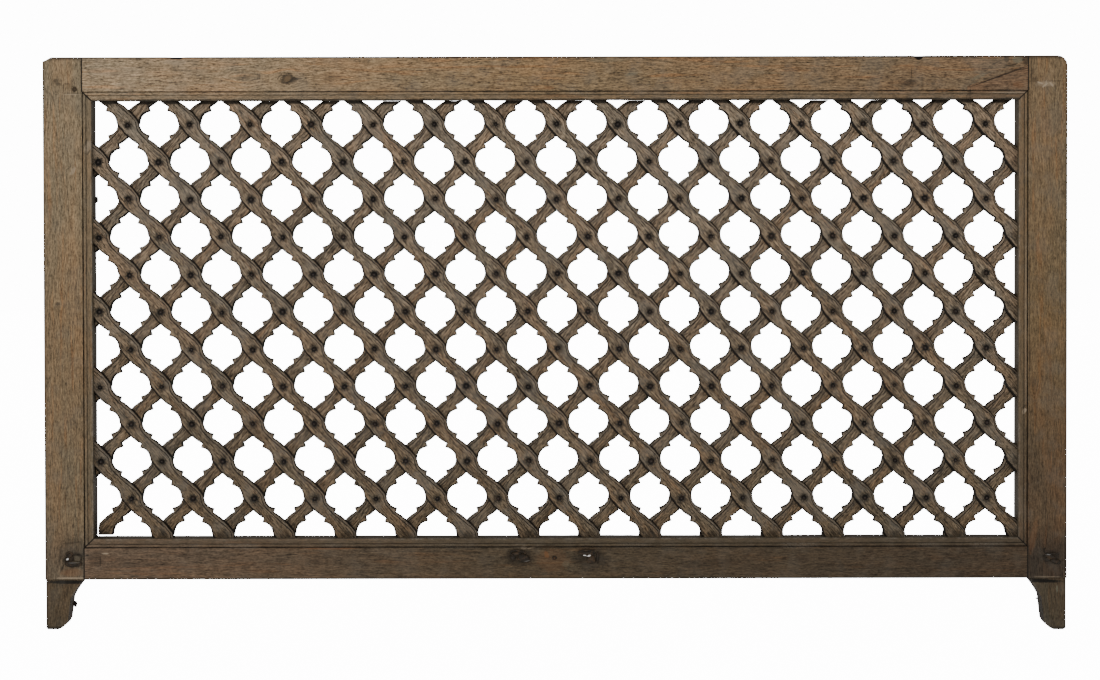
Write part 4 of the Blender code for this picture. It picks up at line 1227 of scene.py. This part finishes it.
def ring_path(centre, half_wide, half_high, turn, start, sweep):
    """Points of an oval bar's middle line on the frame's front, which stands out most at its foot."""
    points = []
    lean = math.radians(turn)
    for step in range(11):
        angle = math.radians(start + sweep * step / 10)
        x, z = half_wide * math.cos(angle), half_high * math.sin(angle)
        points.append((centre[0] + x * math.cos(lean) - z * math.sin(lean), centre[1] + 0.0012 * math.sin(angle),
                       centre[2] + x * math.sin(lean) + z * math.cos(lean)))
    return points


# What each cramp is forged of, in millimetres from the middle of its solid:
# rings (x, z, half width, half height, turn, start, sweep, bar radius) and
# lumps (x, z, half width, half height, rise, turn)
CRAMPS = {
    "left_stile_cramp": ([(-4.2, 5.8, 4.4, 3.8, 0, -10, 200, 1.4)],
                         [(0.8, -8.0, 13.8, 4.6, 4.6, 2), (8.0, 1.2, 6.2, 5.4, 2.6, -25),
                          (-4.2, 5.0, 4.0, 3.4, 1.0, 0), (-8.5, -1.0, 3.4, 3.4, 3.0, 0)]),
    "rail_cramp_left": ([(-3.0, 6.0, 12.0, 4.8, -8, 20, 220, 1.3)],
                        [(5.0, -1.0, 10.0, 6.8, 4.4, 14), (-6.0, 5.8, 7.2, 3.0, 1.2, -8),
                         (-11.0, 0.0, 4.0, 5.0, 2.2, 10)]),
    "rail_cramp_right": ([(-4.5, 6.6, 12.5, 4.4, 0, 5, 170, 1.4)],
                         [(-4.5, 6.0, 11.5, 3.6, 1.0, 0), (-1.0, 3.0, 5.2, 2.2, 3.4, 0),
                          (3.0, -3.0, 7.0, 6.0, 4.0, 0), (12.2, 0.0, 2.2, 9.8, 3.0, 0)]),
    "right_stile_cramp": ([(-7.0, 10.0, 4.2, 3.4, 0, 100, 190, 1.2), (-1.0, -1.0, 12.8, 5.2, 14, 150, -150, 1.4)],
                          [(7.8, -7.0, 8.0, 4.6, 4.4, 12), (-5.0, -4.2, 6.0, 3.4, 1.6, 0),
                           (-1.0, 0.0, 11.0, 3.0, 1.0, 14)]),
}
# Spots on the cramps, as in STAINS: painted highlights where the iron would catch the light, and a brown film patch
PAINTED_HIGHLIGHTS_AND_FILM = [
    ("painted_iron_highlight", -733.7, -721.0, 2.4, 1.5, 20, 0.95), ("painted_iron_highlight", 43.5, -717.5, 2.8, 1.3, -12, 0.95),
    ("painted_iron_highlight", 50.0, -717.2, 2.6, 1.2, 14, 0.9), ("painted_iron_highlight", -43.0, -725.0, 5.0, 0.8, 12, 0.08),
    ("painted_iron_highlight", -724.0, -726.5, 9.0, 0.7, 3, 0.10), ("painted_iron_highlight", 739.5, -716.8, 6.0, 0.8, -12, 0.15),
    ("film", -720.5, -721.0, 7.5, 6.2, 0, 0.70),
]
# Stubs of old nails and the peg: {name: (centre, half sizes)}
STUBS = {
    "nail_stub_left_reveal": ((-0.6932, -0.0120, -0.1810), (0.0021, 0.0030, 0.0050)),
    "nail_stub_left_foot": ((-0.7297, -0.0060, -0.7946), (0.0027, 0.0035, 0.0048)),
    "nail_stub_right_foot": ((0.7303, -0.0060, -0.7889), (0.0020, 0.0030, 0.0012)),
}
PEG = ((-0.7200, FACE_Y, -0.0157), (0.0036, 0.0011, 0.0036))


# Stage

GLOW_TO_THE_EYE = 14.0
FLOOR_LIGHT = 0.40
WORLD_LIGHT = 0.50
LAMPS = {"key_light": ((-1.0, -4.9, 0.9), 1.5, 100.0), "fill_light": ((2.6, -3.4, 0.4), 2.4, 10.0)}
LIT_PLACE = (0, 0, -0.35)
FLOOR_SIZE = 28.0
LENS, SENSOR_WIDTH, SHIFT_UP = 97.80, 36.0, -0.0600
EYE_PLACE = (-0.0079, FACE_Y - 4.483, -0.1944)
EYE_TILT, EYE_ROLL = 1.27, 0.11


def brighter_to_the_eye(tree, for_light):
    """A strength that lights the scene gently and still shows the camera a white ground."""
    seen = output(tree, "ShaderNodeLightPath", "Is Camera Ray")
    return output(tree, "ShaderNodeMapRange", "Result", {"Value": seen, "To Min": for_light, "To Max": GLOW_TO_THE_EYE})


class TEAKPANEL_OT_stage(bpy.types.Operator):
    """Floor, light and camera"""
    bl_idname = "teak_panel.stage"
    bl_label = "Stage, Light and Camera"

    def execute(self, context):
        bpy.ops.object.select_all(action="DESELECT")
        bpy.ops.mesh.primitive_plane_add(size=FLOOR_SIZE, location=(0, 0, SOLE_Z))
        floor = bpy.context.object
        floor.name = floor.data.name = "floor"
        paper, tree, shader = new_material("plain pale paper")
        fill(shader, {"Base Color": colour("stage"), "Roughness": 0.9, "Specular IOR Level": 0.1,
                      "Emission Color": (1.0, 1.0, 1.0), "Emission Strength": brighter_to_the_eye(tree, FLOOR_LIGHT)})
        floor.data.materials.append(paper)
        apply_turn(floor)

        world = context.scene.world or bpy.data.worlds.new("soft room")
        context.scene.world = world
        world.use_nodes = True
        fill(world.node_tree.nodes["Background"],
             {"Color": (1.0, 1.0, 1.0), "Strength": brighter_to_the_eye(world.node_tree, WORLD_LIGHT)})
        for name, (place, size, power) in LAMPS.items():
            bpy.ops.object.select_all(action="DESELECT")
            bpy.ops.object.light_add(type="AREA", location=place)
            lamp = bpy.context.object
            lamp.name = name
            lamp.data.shape = "SQUARE"
            lamp.data.size = size
            lamp.data.energy = power
            lamp.rotation_euler = (Vector(LIT_PLACE) - Vector(place)).to_track_quat("-Z", "Y").to_euler()

        data = bpy.data.cameras.new("view_of_the_front")
        eye = bpy.data.objects.new("view_of_the_front", data)
        context.scene.collection.objects.link(eye)
        data.lens, data.sensor_width, data.shift_y = LENS, SENSOR_WIDTH, SHIFT_UP
        eye.location = EYE_PLACE
        eye.rotation_euler = (math.radians(90) - math.radians(EYE_TILT), math.radians(EYE_ROLL), 0.0)
        context.scene.camera = eye
        return {"FINISHED"}


class TEAKPANEL_OT_frame(bpy.types.Operator):
    """The four frame members and the mend in the top rail"""
    bl_idname = "teak_panel.frame"
    bl_label = "Frame Members"

    def execute(self, context):
        for node_name, name, slot, material_name, offset, looks in MEMBERS:
            axis, tones = ("Z", STILE_TONES) if "stile" in node_name else ("X", RAIL_TONES)
            if node_name == "top_rail_patch":
                tones = [(-1.0, "patch"), (1.0, "patch")]
            else:
                tones = [(place, f"{node_name}_{part}") for place, part in tones]
            material = teak(material_name, axis, tones, member_dirt_and_shade, stains=STAINS[node_name], **looks)
            frame_member(node_name, name, material, offset)
        return {"FINISHED"}


class TEAKPANEL_OT_slats(bpy.types.Operator):
    """Both layers of the carved lattice"""
    bl_idname = "teak_panel.slats"
    bl_label = "Lattice Slats"

    def execute(self, context):
        looks = {}
        for hand, layer, streaks, fibre, cracks, grey in ((FRONT, "front", 0.65, 1.55, 0.45, 0.8),
                                                          (BACK, "back", 0.75, 1.6, 0.55, 0.5)):
            tones = [(OPENING_BOTTOM, layer + "_slats_low"), (OPENING_TOP, layer + "_slats_top")]
            looks[hand] = (slat_stretch(hand),
                           teak(layer + " slats", "Z", tones, lattice_dirt_and_shade(hand), streaks=streaks, fibre=fibre,
                                cracks=cracks, warmth=0.7, grey=grey, grime=1.0, relief=0.7),
                           f"teak_{layer}_slat")
        for node_name, (hand, number) in slat_lines().items():
            slat(node_name, hand, number, *looks[hand])
        for stretch, material, slot in looks.values():
            bpy.data.objects.remove(stretch, do_unlink=True)
        return {"FINISHED"}


class TEAKPANEL_OT_nails(bpy.types.Operator):
    """The rosette nails at the crossings"""
    bl_idname = "teak_panel.nails"
    bl_label = "Rosette Nails"

    def execute(self, context):
        pattern = rosette()
        look = iron("blackened nails", "iron", 0.50, worn_middle=True)
        rng = random.Random(SEED)
        for row in range(ROWS):
            nails = []
            for x, z in nail_places(row):
                size = rng.uniform(*NAIL_SIZE_SHARES)
                centre = (x + rng.uniform(-NAIL_OFF_PLACE, NAIL_OFF_PLACE), LAYER_Y[FRONT][0] + 0.0002,
                          z + rng.uniform(-NAIL_OFF_PLACE, NAIL_OFF_PLACE))
                turned = Matrix.Translation(centre) @ Matrix.Rotation(rng.uniform(0, 6.28), 4, "Y")
                tilted = turned @ Matrix.Rotation(rng.uniform(-NAIL_TILT, NAIL_TILT), 4, "X")
                sized = tilted @ Matrix.Diagonal(
                    (size, rng.uniform(*NAIL_HEIGHT_SHARES), size * rng.uniform(*NAIL_ROUND_SHARES), 1.0))
                nails.append(twin_of(pattern))
                nails[-1].data.transform(sized)
            nails = join(nails)
            for vert in nails.data.vertices:
                vert.co.x += NAIL_DENTS * wave(vert.co, (330, 330, 330), 1)
                vert.co.z += NAIL_DENTS * wave(vert.co, (330, 330, 330), 8)
            smooth(nails, 35)
            settle(nails, f"nails_row_{row + 1:02d}", look)
        bpy.data.objects.remove(pattern, do_unlink=True)
        return {"FINISHED"}


class TEAKPANEL_OT_cramps(bpy.types.Operator):
    """The four hammered iron cramps near the foot of the frame"""
    bl_idname = "teak_panel.cramps"
    bl_label = "Iron Cramps"

    def execute(self, context):
        look = iron("worn iron", "cramp_iron", 0.52, PAINTED_HIGHLIGHTS_AND_FILM)
        for seed, (node_name, (rings, lumps)) in enumerate(CRAMPS.items()):
            low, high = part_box(node_name)
            middle = (low + high) / 2
            made = []
            for x, z, half_wide, half_high, rise, turn in lumps:
                made.append(hammered_lump((middle.x + x * MM, FACE_Y, middle.z + z * MM),
                                          (half_wide * MM, rise * MM, half_high * MM), turn, 0.22, seed + x))
            for x, z, half_wide, half_high, turn, start, sweep, radius in rings:
                path = ring_path((middle.x + x * MM, FACE_Y - 0.0026, middle.z + z * MM), half_wide * MM,
                                 half_high * MM, turn, start, sweep)
                made.append(bent_bar(path, radius * MM, seed + 3))
            piece = join(made)
            smooth(piece, 50)
            settle(piece, "forged_" + node_name, look, [node_name])
        return {"FINISHED"}


class TEAKPANEL_OT_stubs(bpy.types.Operator):
    """Stubs of old nails in the reveal and the feet, and the peg in the left upright"""
    bl_idname = "teak_panel.stubs"
    bl_label = "Nail Stubs and Peg"

    def execute(self, context):
        look = iron("rusted stubs", "iron", 0.5)
        for seed, (name, (centre, half_sizes)) in enumerate(STUBS.items()):
            piece = hammered_lump(centre, half_sizes, 0, 0.35, seed + 11)
            smooth(piece, 50)
            settle(piece, name, look)
        peg = hammered_lump(*PEG, 0, 0.08, 5)
        write_attribute(peg.data, "grain", [(vert.co.y, vert.co.x, vert.co.z) for vert in peg.data.vertices])
        write_attribute(peg.data, "marks", [(0.25, 0.0, 0.3) for vert in peg.data.vertices])
        smooth(peg, 50)
        tones = [(-1.0, "bottom_rail_middle"), (1.0, "bottom_rail_middle")]
        settle(peg, "peg_left_stile", teak("dark peg", "X", tones, member_dirt_and_shade, grey=0.0))
        return {"FINISHED"}


class TEAKPANEL_PT_sidebar(bpy.types.Panel):
    """Lists what the panel is built from"""
    bl_idname = "TEAKPANEL_PT_sidebar"
    bl_label = "Carved Teak Panel"
    bl_space_type = "VIEW_3D"
    bl_region_type = "UI"
    bl_category = "Teak Panel"

    def draw(self, context):
        for group in (context.scene.teak_panel_sizes, context.scene.teak_panel_colours):
            box = self.layout.box()
            for name in group.__annotations__:
                box.prop(group, name)
        for operator in PIECES:
            self.layout.operator(operator.bl_idname)


PIECES = (TEAKPANEL_OT_stage, TEAKPANEL_OT_frame, TEAKPANEL_OT_slats, TEAKPANEL_OT_nails, TEAKPANEL_OT_cramps,
          TEAKPANEL_OT_stubs)
CLASSES = (TeakPanelSizes, TeakPanelColours, *PIECES, TEAKPANEL_PT_sidebar)


def register():
    for kind in CLASSES:
        bpy.utils.register_class(kind)
    bpy.types.Scene.teak_panel_sizes = bpy.props.PointerProperty(type=TeakPanelSizes)
    bpy.types.Scene.teak_panel_colours = bpy.props.PointerProperty(type=TeakPanelColours)


def unregister():
    del bpy.types.Scene.teak_panel_colours
    del bpy.types.Scene.teak_panel_sizes
    for kind in reversed(CLASSES):
        bpy.utils.unregister_class(kind)


def main():
    register()
    bpy.ops.teak_panel.stage()
    bpy.ops.teak_panel.frame()
    bpy.ops.teak_panel.slats()
    bpy.ops.teak_panel.nails()
    bpy.ops.teak_panel.cramps()
    bpy.ops.teak_panel.stubs()


if __name__ == "__main__":
    main()
